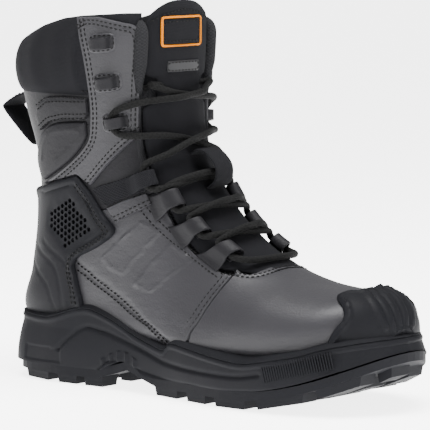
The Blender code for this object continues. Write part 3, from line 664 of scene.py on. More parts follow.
def fill_outline(loop, rings, lines, pitch):
    """Flat points and triangles inside a loop, finer along its lines."""
    chains = ([(loop, True)] + [(ring, True) for ring in rings]
              + [(line, False) for line in lines])
    fence = np.vstack([chain for chain, _ in chains])
    low, high = loop.min(0), loop.max(0)
    across, down = np.meshgrid(np.arange(low[0], high[0], pitch),
                               np.arange(low[1], high[1],
                                         pitch * ROW_DROP),
                               indexing="ij")
    across = across + (np.arange(across.shape[1]) % 2) * pitch / 2
    grid = np.stack([across.ravel(), down.ravel()], 1)
    grid = grid[inside(grid, loop)]
    grid = grid[nearest(grid, fence) > pitch * 0.55]
    extra = flanking(loop, True, EDGE_FLANKS, loop, fence)
    for line in lines:
        extra += flanking(line, False, LINE_FLANKS, loop, fence)
    cloud = np.vstack([fence, grid] + extra)
    flat, _, faces, *_ = delaunay_2d_cdt(
        [Vector(p) for p in cloud], chain_edges(chains), [], 0, 1e-3)
    flat = np.array([tuple(p) for p in flat])
    faces = np.array(faces)
    middles = flat[faces].mean(1)
    keep = inside(middles, loop)
    for ring in rings:
        keep &= ~inside(middles, ring)
    faces = faces[keep]
    used = np.unique(faces)
    renumber = np.full(len(flat), -1)
    renumber[used] = np.arange(len(used))
    return flat[used], renumber[faces]


def panel(name, outline, lift, thick, finish, pitch=2.6, radius=1.0,
          grooves=(), ridges=(), relief=None, holes=(), crown=0.0,
          crown_reach=9.0, body="root", replaced=()):
    """Sheet over the skin inside an outline of rows and turns.

    Its edge is rounded, stitched grooves and embossed ridges run along the
    lines given, and relief adds any other height in mm.
    """
    loop = np.vstack([outline, outline[:1]])
    loop = even(loop, EDGE_STEP, PAPER)[:-1] * PAPER
    rings = [np.array(hole, float) * PAPER for hole in holes]
    lines = [even(line, LINE_STEP, PAPER) * PAPER
             for line in [*grooves, *ridges]]
    flat, faces = fill_outline(loop, rings, lines, pitch)
    place = flat / PAPER
    base, normal, _ = surface(place[:, 0], place[:, 1])
    rim = surface(*(loop / PAPER).T)[0]
    distance = nearest(base, rim)
    height = thick * (0.3 + 0.7 * dome(np.clip(distance / radius, 0, 1)))
    if crown:
        height = height + crown * dome(
            np.clip(distance / crown_reach, 0, 1))
    for kind, (depth, reach) in ((grooves, GROOVE), (ridges, RIDGE)):
        if kind:
            chain = np.vstack([even(line, 0.7, PAPER) for line in kind])
            off = nearest(base, surface(chain[:, 0], chain[:, 1])[0])
            height = height + depth * np.exp(-(off / reach) ** 2)
    if relief:
        height = height + relief(base, place, distance)
    count = len(flat)
    top = base + normal * (lift + height)[:, None]
    bottom = base + normal * lift
    vertices = np.vstack([bottom, top]) * MM
    sides = {}
    for a, b, c in faces:
        for edge in ((a, b), (b, c), (c, a)):
            sides[edge] = sides.get(edge, 0) + 1
    walls = [(b, a, a + count, b + count) for a, b in sides
             if (b, a) not in sides]
    all_faces = ([tuple(f + count) for f in faces]
                 + [tuple(f[::-1]) for f in faces] + walls)
    mesh = bpy.data.meshes.new(name)
    mesh.from_pydata(vertices.tolist(), [],
                     [[int(i) for i in f] for f in all_faces])
    bm = bmesh.new()
    bm.from_mesh(mesh)
    bpy.data.meshes.remove(mesh)
    edge_layer = bm.verts.layers.float.new("edge")
    uv = bm.loops.layers.uv.new("UVMap")
    bm.verts.ensure_lookup_table()
    for k, vert in enumerate(bm.verts):
        vert[edge_layer] = float(distance[k % count])
    for face in bm.faces:
        for corner in face.loops:
            spot = flat[corner.vert.index % count]
            corner[uv].uv = (spot[0] * MM, spot[1] * MM)
    return finish_piece(name, bm, finish, body, replaced)


def wrap_faces(bm, uv, rings, spot):
    """Faces between closed rings of points, mapped by a rule."""
    for i, (ring, following) in enumerate(zip(rings, rings[1:])):
        for k in range(len(ring)):
            n = (k + 1) % len(ring)
            face = bm.faces.new((ring[k], ring[n], following[n],
                                 following[k]))
            corners = ((i, k), (i, k + 1), (i + 1, k + 1), (i + 1, k))
            for corner, (a, b) in zip(face.loops, corners):
                corner[uv].uv = spot(a, b)


def close_ring(bm, ring):
    """Fan of faces over a ring of points, round its middle."""
    middle = bm.verts.new(sum((v.co for v in ring), Vector()) / len(ring))
    for a, b in zip(ring, ring[1:] + ring[:1]):
        bm.faces.new((a, b, middle))


def lengths_along(points, axis):
    """Length up to each point, averaged over the other way."""
    steps = np.linalg.norm(np.diff(points, axis=axis), axis=-1)
    return np.concatenate([[0], np.cumsum(steps.mean(1 - axis))])


def lattice(name, points, finish, body="root", replaced=(), cap_ends=True,
            uv_scale=None):
    """Closed piece from a grid of points in metres, rings then across."""
    across = points.shape[1]
    bm = bmesh.new()
    uv = bm.loops.layers.uv.new("UVMap")
    edge_layer = bm.verts.layers.float.new("edge")
    along = lengths_along(points, 0)
    girth = lengths_along(points, 1)
    girth = np.append(girth, girth[-1] + np.linalg.norm(
        points[:, -1] - points[:, 0], axis=-1).mean())
    if uv_scale is not None:
        girth = np.arange(across + 1) / across * uv_scale
    rings = [[bm.verts.new(p) for p in ring] for ring in points]
    wrap_faces(bm, uv, rings, lambda a, b: (along[a], girth[b]))
    if cap_ends:
        close_ring(bm, rings[0])
        close_ring(bm, rings[-1])
    for vert in bm.verts:
        vert[edge_layer] = NO_EDGE
    return finish_piece(name, bm, finish, body, replaced)


def tube(name, path, radius, sides, finish, replaced=()):
    """Round cord along points in metres, with rounded ends."""
    path = np.array(path, float)
    ahead = unit(np.gradient(path, axis=0))
    side = unit(np.cross(ahead[0], (0.31, 0.77, 0.55)))
    rings = []
    angles = np.linspace(0, 2 * math.pi, sides, endpoint=False)
    ends = {0: (-0.6, (0.35, 0.8, 1)), len(path) - 1: (0.6, (1, 0.8, 0.35))}
    for k, (point, way) in enumerate(zip(path, ahead)):
        side = unit(side - way * side.dot(way))
        other = np.cross(way, side)
        ring = (np.cos(angles)[:, None] * side
                + np.sin(angles)[:, None] * other)
        forward, shares = ends.get(k, (0, (1,)))
        for share in shares:
            rings.append(point + radius * (
                way * forward * math.sqrt(1 - share * share)
                + ring * share))
    return lattice(name, np.array(rings), finish, replaced=replaced,
                   uv_scale=1.0)


# -------------------------------------------------------- geometry nodes ----
def repeat_tree(name, shape):
    """Tree that repeats a small solid along lines and makes it real."""
    tree = bpy.data.node_groups.new(name, "GeometryNodeTree")
    face = tree.interface
    face.new_socket("Lines", in_out="INPUT", socket_type="NodeSocketGeometry")
    for label, kind in (("Spacing", "NodeSocketFloat"),
                        ("Size", "NodeSocketVector"),
                        ("Finish", "NodeSocketMaterial")):
        face.new_socket(label, in_out="INPUT", socket_type=kind)
    face.new_socket("Result", in_out="OUTPUT",
                    socket_type="NodeSocketGeometry")
    source = put(tree, "NodeGroupInput").outputs
    curve = put(tree, "GeometryNodeMeshToCurve", {"Mesh": source["Lines"]})
    upright = put(tree, "GeometryNodeSetCurveNormal",
                  {"Curve": curve.outputs[0]}, mode="Z_UP")
    points = put(tree, "GeometryNodeCurveToPoints",
                 {"Curve": upright.outputs[0], "Length": source["Spacing"]},
                 mode="LENGTH")
    if shape == "thread":
        solid = put(tree, "GeometryNodeMeshUVSphere",
                    {"Segments": 6, "Rings": 5, "Radius": 0.5})
    else:
        solid = put(tree, "GeometryNodeMeshCube", {"Size": (1, 1, 1)})
    repeated = put(tree, "GeometryNodeInstanceOnPoints", {
        "Points": points.outputs["Points"], "Instance": solid.outputs[0],
        "Rotation": points.outputs["Rotation"], "Scale": source["Size"]})
    real = put(tree, "GeometryNodeRealizeInstances",
               {"Geometry": repeated.outputs[0]})
    painted = put(tree, "GeometryNodeSetMaterial",
                  {"Geometry": real.outputs[0], "Material": source["Finish"]})
    shaded = put(tree, "GeometryNodeSetShadeSmooth",
                 {"Geometry": painted.outputs[0],
                  "Shade Smooth": shape == "thread"})
    put(tree, "NodeGroupOutput", {"Result": shaded.outputs[0]})
    return tree


def repeat_along(name, tree, lines, spacing, size, finish, body="root"):
    """Run a repeating tree over lines of points in metres."""
    mesh = bpy.data.meshes.new(name + "_lines")
    vertices, edges = [], []
    for line in lines:
        start = len(vertices)
        vertices.extend(tuple(p) for p in line)
        edges.extend((start + k, start + k + 1) for k in range(len(line) - 1))
    mesh.from_pydata(vertices, edges, [])
    guide = bpy.data.objects.new(name + "_guide", mesh)
    bpy.context.scene.collection.objects.link(guide)
    modifier = guide.modifiers.new("repeat", "NODES")
    modifier.node_group = tree
    values = {"Spacing": spacing, "Size": size, "Finish": FINISH[finish]}
    for item in tree.interface.items_tree:
        if item.in_out == "INPUT" and item.name in values:
            modifier[item.identifier] = values[item.name]
    bpy.context.view_layer.update()
    seen = guide.evaluated_get(bpy.context.evaluated_depsgraph_get())
    result = bpy.data.meshes.new_from_object(seen)
    result.name = name
    bpy.data.objects.remove(guide, do_unlink=True)
    return finish_mesh(name, result, finish, body)


STITCHES = {"root": [], "tongue_flap": [], "pull_loop": []}


def sew(line, lift, body="root", both=False, rows=(0.0,)):
    """Mark rows of stitches beside a line of places, lift in mm."""
    for offset in rows:
        moved = beside(line, offset) if offset else np.array(line, float)
        for sign in ((1, -1) if both else (1,)):
            seam = even(moved * (1, sign), SEAM_STEP, PAPER)
            STITCHES[body].append(
                surface(seam[:, 0], seam[:, 1], lift)[0] * MM)


# ----------------------------------------------------------------- laces ----
def lace_half(sign, first_over):
    """Row, turn and lift of one half of the lace, from the lowest bar up."""
    tab = GAP + 8.6 / 2
    eye = 2 * GAP + OVERLAY + 8.6 / 2
    hook = 2 * GAP + OVERLAY + 8.2 / 2
    over = [HIGH if first_over == (k % 2 == 0) else LOW for k in range(4)]
    steps = [
        (7.56, 14, LOW), (7.50, 27, tab), (7.25, 32, tab), (6.95, 32.5, tab),
        (6.62, 32, tab), (6.50, 26, tab + 0.5),
        (6.46, 12, over[0]), (6.42, 0, over[0]), (6.38, -12, over[0]),
        (6.36, -27, tab + 0.5), (6.24, -34.5, tab), (5.92, -35, tab),
        (5.58, -34.8, tab), (5.47, -28, tab + 0.5),
        (5.44, -13, over[1]), (5.40, 0, over[1]), (5.36, 13, over[1]),
        (5.33, 30, tab + 0.5), (5.22, 38, tab), (4.9, 38.6, tab),
        (4.55, 39, tab), (4.43, 31.5, tab + 0.5),
        (4.42, 14, over[2]), (4.40, 0, over[2]), (4.42, -14, over[2]),
        (4.52, -32, 5.0), (4.50, -42, eye), (4.32, -46.5, eye),
        (4.0, -46.5, eye), (3.74, -44, eye), (3.60, -30, 5),
        (3.40, -14, over[3]), (3.28, 0, over[3]), (3.18, 14, over[3]),
        (3.08, 30, 4.5), (3.02, 42, hook - 0.6), (2.93, 52, hook),
        (2.78, 56.5, hook), (2.63, 57, hook), (2.48, 56.5, hook),
        (2.35, 52, hook), (2.28, 42, hook - 0.6), (2.26, 30, 4.5),
        (2.24, 14, over[0]), (2.20, 0, over[0]), (2.14, -14, over[0]),
        (2.05, -24, 4.0), (1.98, -29.5, 3.6),
    ]
    return [(row, sign * turn, lift) for row, turn, lift in steps]


def lace_tip(side, start, course):
    """Sleeve pressed round the end of the lace."""
    across = unit(np.cross(course, (0, 0, 1)))
    upward = np.cross(across, course)
    angles = np.linspace(0, 2 * math.pi, 16, endpoint=False)
    circle = (np.cos(angles)[:, None] * across
              + np.sin(angles)[:, None] * upward)
    rings = [start + course * place * MM + circle * radius * MM
             for place, radius in LACE_TIP]
    return lattice(f"lace_tip_{side}", np.array(rings), "plastic",
                   replaced=[f"aglet_{side}"])


def make_laces():
    """Held lace, its two free ends and their tips."""
    first, second = lace_half(1, True), lace_half(-1, False)
    steps = np.array(first[::-1] + [(7.58, 0, LOW)] + second)
    knots = surface(steps[:, 0], steps[:, 1], steps[:, 2])[0] * MM
    held = even(smooth(knots, 16), 1.25 * MM)
    tube("lace_braid", held, LACE / 2, 14, "lace", replaced=["lace"])
    for side, sign in SIDES.items():
        end, before = (held[0], held[7]) if sign > 0 else (held[-1],
                                                           held[-8])
        leaving = unit(end - before)
        exit_point = end + leaving * GAP * MM
        knots = [exit_point + leaving * LACE] + [
            np.array((x, -sign * y, z)) * MM for x, y, z in TAIL_ROUTE]
        route = even(np.vstack([[exit_point], smooth(knots, 12)]), 1.25 * MM)
        tail = tube(f"lace_end_{side}", route, LACE / 2, 14, "lace",
                    replaced=[f"lace_tail_{side}"])
        course = unit(route[-1] - route[-2])
        tip = lace_tip(side, route[-1] + course * GAP * MM, course)


# ----------------------------------------------------------- the leather ----
def seam_step(line, height, reach=0.9, upper=True):
    """Relief that lifts everything on one side of a line of places."""
    dense = even(line, 0.8, PAPER)
    ahead = np.gradient(dense * PAPER, axis=0)
    spots = surface(dense[:, 0], dense[:, 1])[0]

    def relief(base, place, distance):
        gaps = np.linalg.norm(base[:, None] - spots[None], axis=-1)
        index = gaps.argmin(1)
        off = (place - dense[index]) * PAPER
        way = ahead[index]
        side = np.sign(way[:, 0] * off[:, 1] - way[:, 1] * off[:, 0])
        signed = gaps[np.arange(len(base)), index] * side
        if not upper:
            signed = -signed
        fade = np.clip(1 - (signed - 6) / 22, 0, 1)
        return height * fade * np.clip(0.5 + signed / reach, 0, 1)
    return relief


def make_leather():
    """Vamp, quarters and shaft, and their seams."""
    seam = smooth(VAMP_SEAM)
    throat = smooth(THROAT)
    vamp = np.vstack([
        seam[::-1], throat, mirrored(throat)[::-1], mirrored(seam),
        [(8.6 + k * 0.45, -128) for k in range(1, 12)],
        [(13.9, turn) for turn in range(-120, 121, 8)],
        [(8.6 + k * 0.45, 128) for k in range(11, 0, -1)]])
    edging = smooth([(7.60, 40), (7.84, 36), (7.96, 31), (8.0, 23),
                     (7.96, 12), (7.93, 0)])
    panel("vamp_leather", vamp, -LEATHER, LEATHER, "leather", 3.0, 1.0,
          grooves=[edging, mirrored(edging)], replaced=["vamp"])
    sew(edging, 0.0, both=True, rows=(0.0, -2.2))

    ankle = from_side([(66, 132), (57, 129.5), (49, 127), (34, 121),
                       (22, 118), (0, 118), (-20, 118), (-44, 118)])
    edge = opening_edge(ankle[0][0], 7.40)
    diagonal = even(from_side(np.linspace((10, 86), (103, 33), 9)), 6,
                    PAPER)
    blocks = [from_side(smooth_loop(points, 1.6)) for points in (
        [(31, 88), (49, 78), (77, 108), (62, 114)],
        [(60, 72), (73, 68), (103, 91), (86, 101)])]
    blocks = [np.vstack([b, b[:1]]) for b in blocks]

    def plateaus(sign):
        step = seam_step(diagonal * (1, sign), 0.7, 1.0, sign < 0)
        loops = [b * (1, sign) for b in blocks]

        def relief(base, place, distance):
            height = step(base, place, distance)
            for loop in loops:
                held = inside(place * PAPER, loop[:-1] * PAPER)
                height = height + np.where(held, 0.3, 0.0)
            return height
        return relief

    quarter = np.vstack([
        ankle[0:1], edge, seam, [(8.2, 128), (7.6, 130), (7.1, 136),
                                 (6.7, 150), (6.4, 172)],
        [(6.0, 175), (5.0, 175), (4.0, 175)], ankle[::-1]])
    lace_row = smooth(LACE_ROW)
    for side, sign in SIDES.items():
        flip = (1, sign)
        panel(f"quarter_leather_{side}", quarter * flip, -LEATHER, LEATHER,
              "leather", 1.5, 1.0,
              grooves=[beside(diagonal, 2.2) * flip,
                       beside(seam, 2.6) * flip, lace_row * flip],
              ridges=[b * flip for b in blocks],
              relief=plateaus(sign), replaced=[f"quarter_{side}"])
        shaft = np.vstack([
            ankle, [(3.8, 180), (3.0, 180), (2.3, 180), (1.72, 180)],
            from_side([(-45, 197.5), (-25, 197.5), (0, 197.5), (25, 197.5),
                       (45, 197.5)]),
            opening_edge(2.25, ankle[0][0])])
        panel(f"shaded_shaft_leather_{side}", shaft * flip, -LEATHER, LEATHER,
              "shaded_shaft_leather", 2.8, 1.0, replaced=[f"shaft_{side}"])
    sew(diagonal, 0.55, both=True, rows=(1.2, 3.2))
    sew(seam, -0.1, both=True, rows=(1.5, 3.8))
    sew(lace_row + (0, 5), 0.1, both=True, rows=(-1.3, 1.3))


def smooth_loop(corners, radius):
    """Closed loop with rounded corners, in mm of the side view."""
    corners = np.array(corners, float)
    loop = []
    for k, here in enumerate(corners):
        before, after = corners[k - 1], corners[(k + 1) % len(corners)]
        start = here + unit(before - here) * radius
        end = here + unit(after - here) * radius
        for share in (0, 0.33, 0.67, 1):
            loop.append((1 - share) ** 2 * start
                        + 2 * share * (1 - share) * here + share ** 2 * end)
    return np.array(loop)


def make_overlays():
    """Second layer over the shaft and quarters."""
    rear = from_side(smooth(FACING_REAR, 4))
    lower = from_side([(-24, 134), (-8, 138), (9, 142.5), (21, 136)])
    diagonal = from_side(smooth([(21, 136), (38, 153), (58, 172)], 5))
    front = opening_edge(3.12, 1.05, TONGUE_HALF + 1.2, 30)
    turn = front[-1, 1]
    front = np.vstack([front[:-1], smooth([
        (1.05, turn), (0.86, turn + 0.5), (0.70, turn + 2.3),
        (0.59, turn + 5.6), (0.545, turn + 10)], 4)])
    top = from_side([(34, 249.5), (24, 249.5)])
    outline = np.vstack([rear, lower[:-1], diagonal, front, top])
    face = GAP + OVERLAY
    strap = from_side(smooth([(23, 133), (28, 136), (45, 141), (58, 147)],
                             4))
    strap_low = from_side(smooth([(65, 134.5), (49, 128.5), (35, 122.5)], 4))
    strip = from_side([(35, 121.5), (49, 127.5), (65, 133)])
    strip_low = from_side([(70, 126), (62, 121.5), (54, 118), (43.5, 113)])
    band = from_side(smooth([(22, 195), (20, 181), (0, 180), (-14, 177),
                             (-24, 171)], 3))
    band_top = from_side([(-28, 180), (-24, 189), (-14, 194.5), (0, 195.5)])
    pad = from_side(smooth([
        (19, 179), (0, 178), (-14, 175), (-24, 168), (-29, 160), (-32, 149),
        (-27, 137.5)], 3))
    pad_low = from_side(smooth([(-24, 137), (-10, 144), (2, 151.5),
                                (13, 161), (19, 169)], 3))
    inner_line = from_side(smooth([
        (-23, 152), (-20, 162), (-12, 170), (0, 173), (14, 173.5),
        (14, 168), (4, 159), (-9, 150)], 3))
    pieces = [
        ("facing_leather", "facing", [outline], "leather", 2.8, 0.9, {
            "grooves": [beside(rear[:-3], -1.9), beside(diagonal, -1.9),
                        beside(front[2:], -1.9)]}),
        ("strap_webbing", "webbing_strap", [strap, strap_low], "webbing",
         2.8, 0.6, {}),
        ("side_strip_leather", "side_strip", [strip, strip_low], "leather",
         2.6, 0.9, {}),
        ("collar_band_leather", "collar_band", [band, band_top],
         "shaded_shaft_leather", 2.4, 1.0, {"crown": 0.8, "crown_reach": 5}),
        ("ankle_cushion", "ankle_pad", [pad, pad_low], "shaded_shaft_leather",
         2.2, 1.0, {"crown": 1.8, "crown_reach": 9,
                    "ridges": [inner_line]}),
    ]
    for side, sign in SIDES.items():
        flip = (1, sign)
        for name, node, shape, finish, pitch, radius, more in pieces:
            lines = {kind: [line * flip for line in more[kind]]
                     for kind in ("grooves", "ridges") if kind in more}
            piece = panel(f"{name}_{side}", np.vstack(shape) * flip, GAP,
                          OVERLAY, finish, pitch, radius,
                          replaced=[f"{node}_{side}"], **{**more, **lines})
    sew(rear[1:-3], face, both=True, rows=(-1.9, -4.0))
    sew(diagonal, face, both=True, rows=(-1.9, -4.0))
    sew(np.vstack([front[2:], top, rear[1:2]]), face, both=True,
        rows=(-1.9, -4.0))
    for line in ([(22, 194), (0, 193.6), (-14, 192.6), (-23, 187.5)],
                 [(20, 183), (0, 182), (-14, 179), (-23, 173.5)]):
        sew(from_side(line), face + 0.9, both=True, rows=(-1.0, 1.0))
    sew(from_side([(43.5, 114.5), (54, 119.5), (68, 126.5)]), face,
        both=True, rows=(0.6, -1.8))
    sew(np.vstack([pad, pad_low]), 0.2, both=True, rows=(-1.8,))
    stay = np.vstack([[(row, 172.5) for row in (1.85, 2.3, 2.8, 3.35)],
                      [(row, 187.5) for row in (3.35, 2.8, 2.3, 1.85)]])
    panel("back_stay_leather", stay, GAP, OVERLAY, "leather", 2.6, 0.9,
          replaced=["back_stay"])
    for turn in (174.5, 185.5):
        sew([(1.9, turn), (2.6, turn), (3.3, turn)], face)


# -------------------------------------------------------- lace holders ----
def strap_section(rim, shoulder, thin_rim, thin_shoulder):
    """Places across a strap and its share of thickness at each."""
    shares = np.concatenate([[-1, -rim], np.linspace(-shoulder, shoulder, 9),
                             [rim, 1]])
    thin = np.array([thin_rim, thin_shoulder] + [1.0] * 9
                    + [thin_shoulder, thin_rim])
    return shares, thin


def skin_strip(name, place, profile, width, thickness, sign, finish,
               replaced=(), flare=0.0):
    """Strip of material folded over the skin, as an inward and up profile.

    profile holds the distance towards the tongue and the height, in mm.
    """
    row, turn = place
    reach, drop = spans(row, turn)
    path = even(smooth(profile, 6), 0.9)
    ahead = unit(np.gradient(path, axis=0))
    off = np.stack([-ahead[:, 1], ahead[:, 0]], 1) * thickness / 2
    shares, thin = strap_section(0.96, 0.85, 0.35, 0.8)
    rings = []
    for (inward, high), offset in zip(path, off):
        spread = width / 2 + flare * max(0.0, -inward / 14 - 0.25)
        rows = row + shares * spread / drop
        outer, inner = (surface(
            rows, sign * (turn - (inward + way * offset[0] * thin) / reach),
            high + way * offset[1] * thin)[0] for way in (1, -1))
        rings.append(np.vstack([outer, inner[::-1]]))
    return lattice(name, np.array(rings) * MM, finish, replaced=replaced)


TAB_PROFILE = [(-14, 0.5), (-10.5, 1.5), (-7, 4.4), (-4.2, 7.4), (-0.5, 9.0),
               (3.2, 8.6), (5.4, 6.4), (5.9, 3.6), (4.6, 1.3), (1, 0.75),
               (-4, 0.75)]
HOOK_PROFILE = [(-8.5, 2.6), (-6.6, 3.2), (-5.6, 5.4), (-4.4, 9.0),
                (-1.6, 10.6), (1.6, 10.6), (4.4, 9.0), (5.6, 5.4),
                (6.6, 3.2), (8.5, 2.6)]


def capsule(place, length, height, sign, steps=10):
    """Rounded outline around a place, along the turn and up the boot."""
    row, turn = place
    reach, drop = spans(row, turn)
    loop = []
    for k in range(4 * steps):
        angle = 2 * math.pi * k / (4 * steps)
        cosine, sine = math.cos(angle), math.sin(angle)
        grow = (abs(cosine) ** 4 + abs(sine) ** 4) ** (-0.25)
        loop.append((row + sine * grow * height / 2 / drop,
                     sign * (turn + cosine * grow * length / 2 / reach)))
    return np.array(loop)


def make_holders():
    """Tabs, loops and bars that hold the lace."""
    for side, sign in SIDES.items():
        for k, place in enumerate(TABS):
            skin_strip(f"lace_tab_leather_{k + 1}_{side}", place,
                       TAB_PROFILE, 12.5, 1.3, sign, "shaded_shaft_leather",
                       [f"lace_tab_{k + 1}_{side}"], 4.0)
        skin_strip(f"webbing_loop_{side}", EYE, [
            (i, h + 2.0) for i, h in TAB_PROFILE], 11.5, 1.2, sign,
            "webbing", [f"webbing_eye_{side}"])
        for k, place in enumerate(HOOKS):
            skin_strip(f"lace_hook_bar_{k + 1}_{side}", place, HOOK_PROFILE,
                       7.5, 1.3, sign, "shaded_shaft_leather",
                       [f"lace_hook_{k + 1}_{side}"])
            panel(f"lace_hook_patch_{k + 1}_{side}",
                  capsule(place, 20, 13, sign), GAP + OVERLAY, 0.9,
                  "leather", 2.4, 0.7)
            sew(capsule(place, 17.4, 10.4, sign), GAP + OVERLAY + 0.9)


# ------------------------------------------------------ padding, webbing ----
def level_row(turn, rule):
    """Row where the skin meets a height rule of x, for one turn."""
    rows = np.linspace(0, 3, 121)
    points = skin(rows, np.full(121, float(turn)))
    over = points[:, 2] - rule(points[:, 0])
    index = int(np.argmax(over <= 0))
    if index == 0:
        return 0.0
    share = over[index - 1] / (over[index - 1] - over[index])
    return float(rows[index - 1] + share * (rows[1] - rows[0]))


def rim_height(x):
    """Height in mm of the top of the collar."""
    xs, zs = zip(*COLLAR_RIM)
    return np.interp(x, xs, zs)


def make_collar():
    """Padded collar, tighter where it ends."""
    edge = turn_at_width(1.2, TONGUE_HALF + 0.6)
    turns = np.linspace(edge, 360 - edge, 150)
    profile = smooth(COLLAR_PROFILE, 3)
    flat = np.where(profile[:, 1] > -4.2, np.interp(
        profile[:, 0], [0, 0.15, 0.5, 0.86, 0.96, 1.0],
        [-0.2, 0.5, 0.7, 0.2, -1.6, -4.2]), profile[:, 1])
    rings = []
    for k, turn in enumerate(turns):
        free = np.clip((16 - skin(np.array([1.2]),
                                  np.array([turn]))[0, 0]) / 8, 0, 1)
        height = np.minimum(profile[:, 1], flat + 9 * free)
        end = min(k, len(turns) - 1 - k) / 4
        tight = 0.25 + 0.75 * dome(min(end, 1))
        low = level_row(turn, lambda x: np.full_like(x, COLLAR_FOOT))
        high = level_row(turn, rim_height)
        lifts = -COLLAR / 2 + (height + COLLAR / 2) * tight
        ripple = 0.35 * math.sin(turn * 0.35) * np.sin(
            profile[:, 0] * math.pi)
        rows = low + (high - low) * profile[:, 0]
        rings.append(surface(rows, turn, lifts + ripple)[0])
    collar = lattice("collar_padding", np.array(rings) * MM, "textile",
                     replaced=["collar"])
    seam = np.array([(level_row(t, lambda x: 0 * x + COLLAR_FOOT + 3), t)
                     for t in np.linspace(edge + 25, 335 - edge, 90)])
    sew(seam, 0.7)


def make_opening_rolls():
    """Padded inner edges of the lacing opening, beside the tongue."""
    rows = np.linspace(0.5, 3.9, 110)
    angles = np.linspace(0, 2 * math.pi, 18, endpoint=False)
    for side, sign in SIDES.items():
        rings = []
        for row in rows:
            share = (row - 0.5) / 3.4
            girth = 4.6 - 2.4 * np.clip((row - 1.5) / 0.7, 0, 1)
            for end in (share * 9, (1 - share) * 12):
                girth *= max(dome(np.clip(end, 0, 1)), math.sqrt(0.06))
            turn = turn_at_width(row, TONGUE_HALF + 1.8)
            reach, _ = spans(row, turn)
            height = 0.2 + (girth - 2.0) * 0.75
            rings.append(surface(
                np.full(18, row),
                sign * (turn + np.cos(angles) * girth / reach),
                height - 1.2 + np.sin(angles) * girth)[0])
        roll = lattice(f"opening_roll_{side}", np.array(rings) * MM,
                       "lining")


def make_tongue():
    """Padded tongue that bends at its fold."""
    heights = np.linspace(0, 1, 96)
    rows = 8.0 + (0.06 - 8.0) * heights
    across = np.concatenate([np.linspace(-1, -0.9, 4),
                             np.linspace(-0.82, 0.82, 21),
                             np.linspace(0.9, 1, 4)])
    rings = []
    for row in rows:
        z = float(skin(np.array([row]), np.array([0.0]))[0, 2])
        fold = np.clip((11 - abs(z - 201)) / 4, 0, 1)
        half = TONGUE_HALF - 0.7 - 9.6 * fold
        if row > 7.2:
            half *= 1 - 0.35 * (row - 7.2) / 0.8
        half *= 1 - 0.08 * np.clip((0.55 - row) / 0.49, 0, 1) ** 2.2
        edge = turn_at_width(row, half)
        top = np.clip((row - 0.06) / 0.12, 0, 1)
        body = np.sqrt(np.clip(1 - np.abs(across) ** 6, 0, 1))
        thick = (TONGUE / 2) * (0.25 + 0.75 * body) * (
            0.3 + 0.7 * dome(top))
        channel = 0.5 * np.exp(-((np.abs(across) - 0.62) / 0.05) ** 2)
        quilt = 0.35 * np.sin(row * 6.0) * np.exp(-(across / 0.5) ** 2)
        turns = across * edge
        low = row + 0.36 * np.abs(across) ** 2.6 * np.clip(
            (1.3 - row) / 1.2, 0, 1)
        outer = surface(low, turns, -TONGUE / 2 + thick - channel * 0.8
                        + quilt)[0]
        inner = surface(low, turns, -TONGUE / 2 - thick)[0]
        rings.append(np.vstack([outer, inner[::-1]]))
    tongue = lattice("tongue_padding", np.array(rings) * MM, "textile",
                     body=None,
                     replaced=["tongue_lower", "tongue_top"])
    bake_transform(tongue)
    make_patch()


def front_box(left, low, right, high, radius):
    """Rounded rectangle on the tongue, by its sides in y and z, in mm."""
    return from_front(smooth_loop([(left, low), (right, low), (right, high),
                                   (left, high)], radius))


def make_patch():
    """The tongue's edged patch and its tag, both left bare."""
    panel("patch_edging", front_box(-22, 229.2, 18, 249.8, 2.5), GAP, 1.0,
          "accent", 2.0, 0.5, holes=[front_box(-20.5, 230.7, 16.5, 248.3,
                                               1.2)],
          body="tongue_flap", replaced=["tongue_patch_frame"])
    panel("patch_ground", front_box(-20.2, 231, 16.2, 248, 1), GAP, 0.7,
          "textile", 2.4, 0.4, body="tongue_flap")
    sew(front_box(-18.3, 233, 14.3, 246, 1), GAP + 0.75,
        body="tongue_flap")
    panel("woven_tag", front_box(-15.8, 212.2, 15.8, 219.8, 0.6), GAP, 0.9,
          "plastic", 2.2, 0.4, body="tongue_flap", replaced=["tongue_tag"])
    sew(front_box(-14.6, 213.3, 14.6, 218.7, 0.5), GAP + 0.9,
        body="tongue_flap")
    sew(from_front([(-28, 247), (-17, 251.5), (0, 254.5), (17, 251.5),
                    (28, 247)]), 0.5, body="tongue_flap")


def band(name, path, low_y, high_y, body, replaced, closed):
    """Webbing band along a path in the side view, all in mm."""
    path = even(smooth(path, 8), 1.4)
    if closed:
        path = path[:-1]
        ahead = unit(np.roll(path, -1, 0) - np.roll(path, 1, 0))
    else:
        ahead = unit(np.gradient(path, axis=0))
    off = np.stack([-ahead[:, 1], ahead[:, 0]], 1) * 0.8
    middle, half = (low_y + high_y) / 2, (high_y - low_y) / 2
    shares, thin = strap_section(0.95, 0.8, 0.4, 0.85)
    rings = []
    for (x, z), (dx, dz) in zip(path, off):
        outer, inner = ([(x + way * dx * t, middle + s * half,
                          z + way * dz * t) for s, t in zip(shares, thin)]
                        for way in (1, -1))
        rings.append(outer + inner[::-1])
    if closed:
        rings.append(rings[0])
    piece = lattice(name, np.array(rings) * MM, "webbing", body, replaced,
                    cap_ends=not closed)
    if closed:
        weld(piece)
    return piece


PULL_PATH = [
    (-63.8, 193), (-76, 191), (-88.5, 184.5), (-89.5, 181), (-77, 169),
    (-64, 158.5), (-59.1, 159.5), (-59.8, 170), (-62.8, 184), (-63.8, 193)]
KEEPER_PATH = [(75.3, 157.5), (80.5, 160.5), (88.5, 159.3), (97, 151),
               (97, 141.2), (90.0, 135.4)]


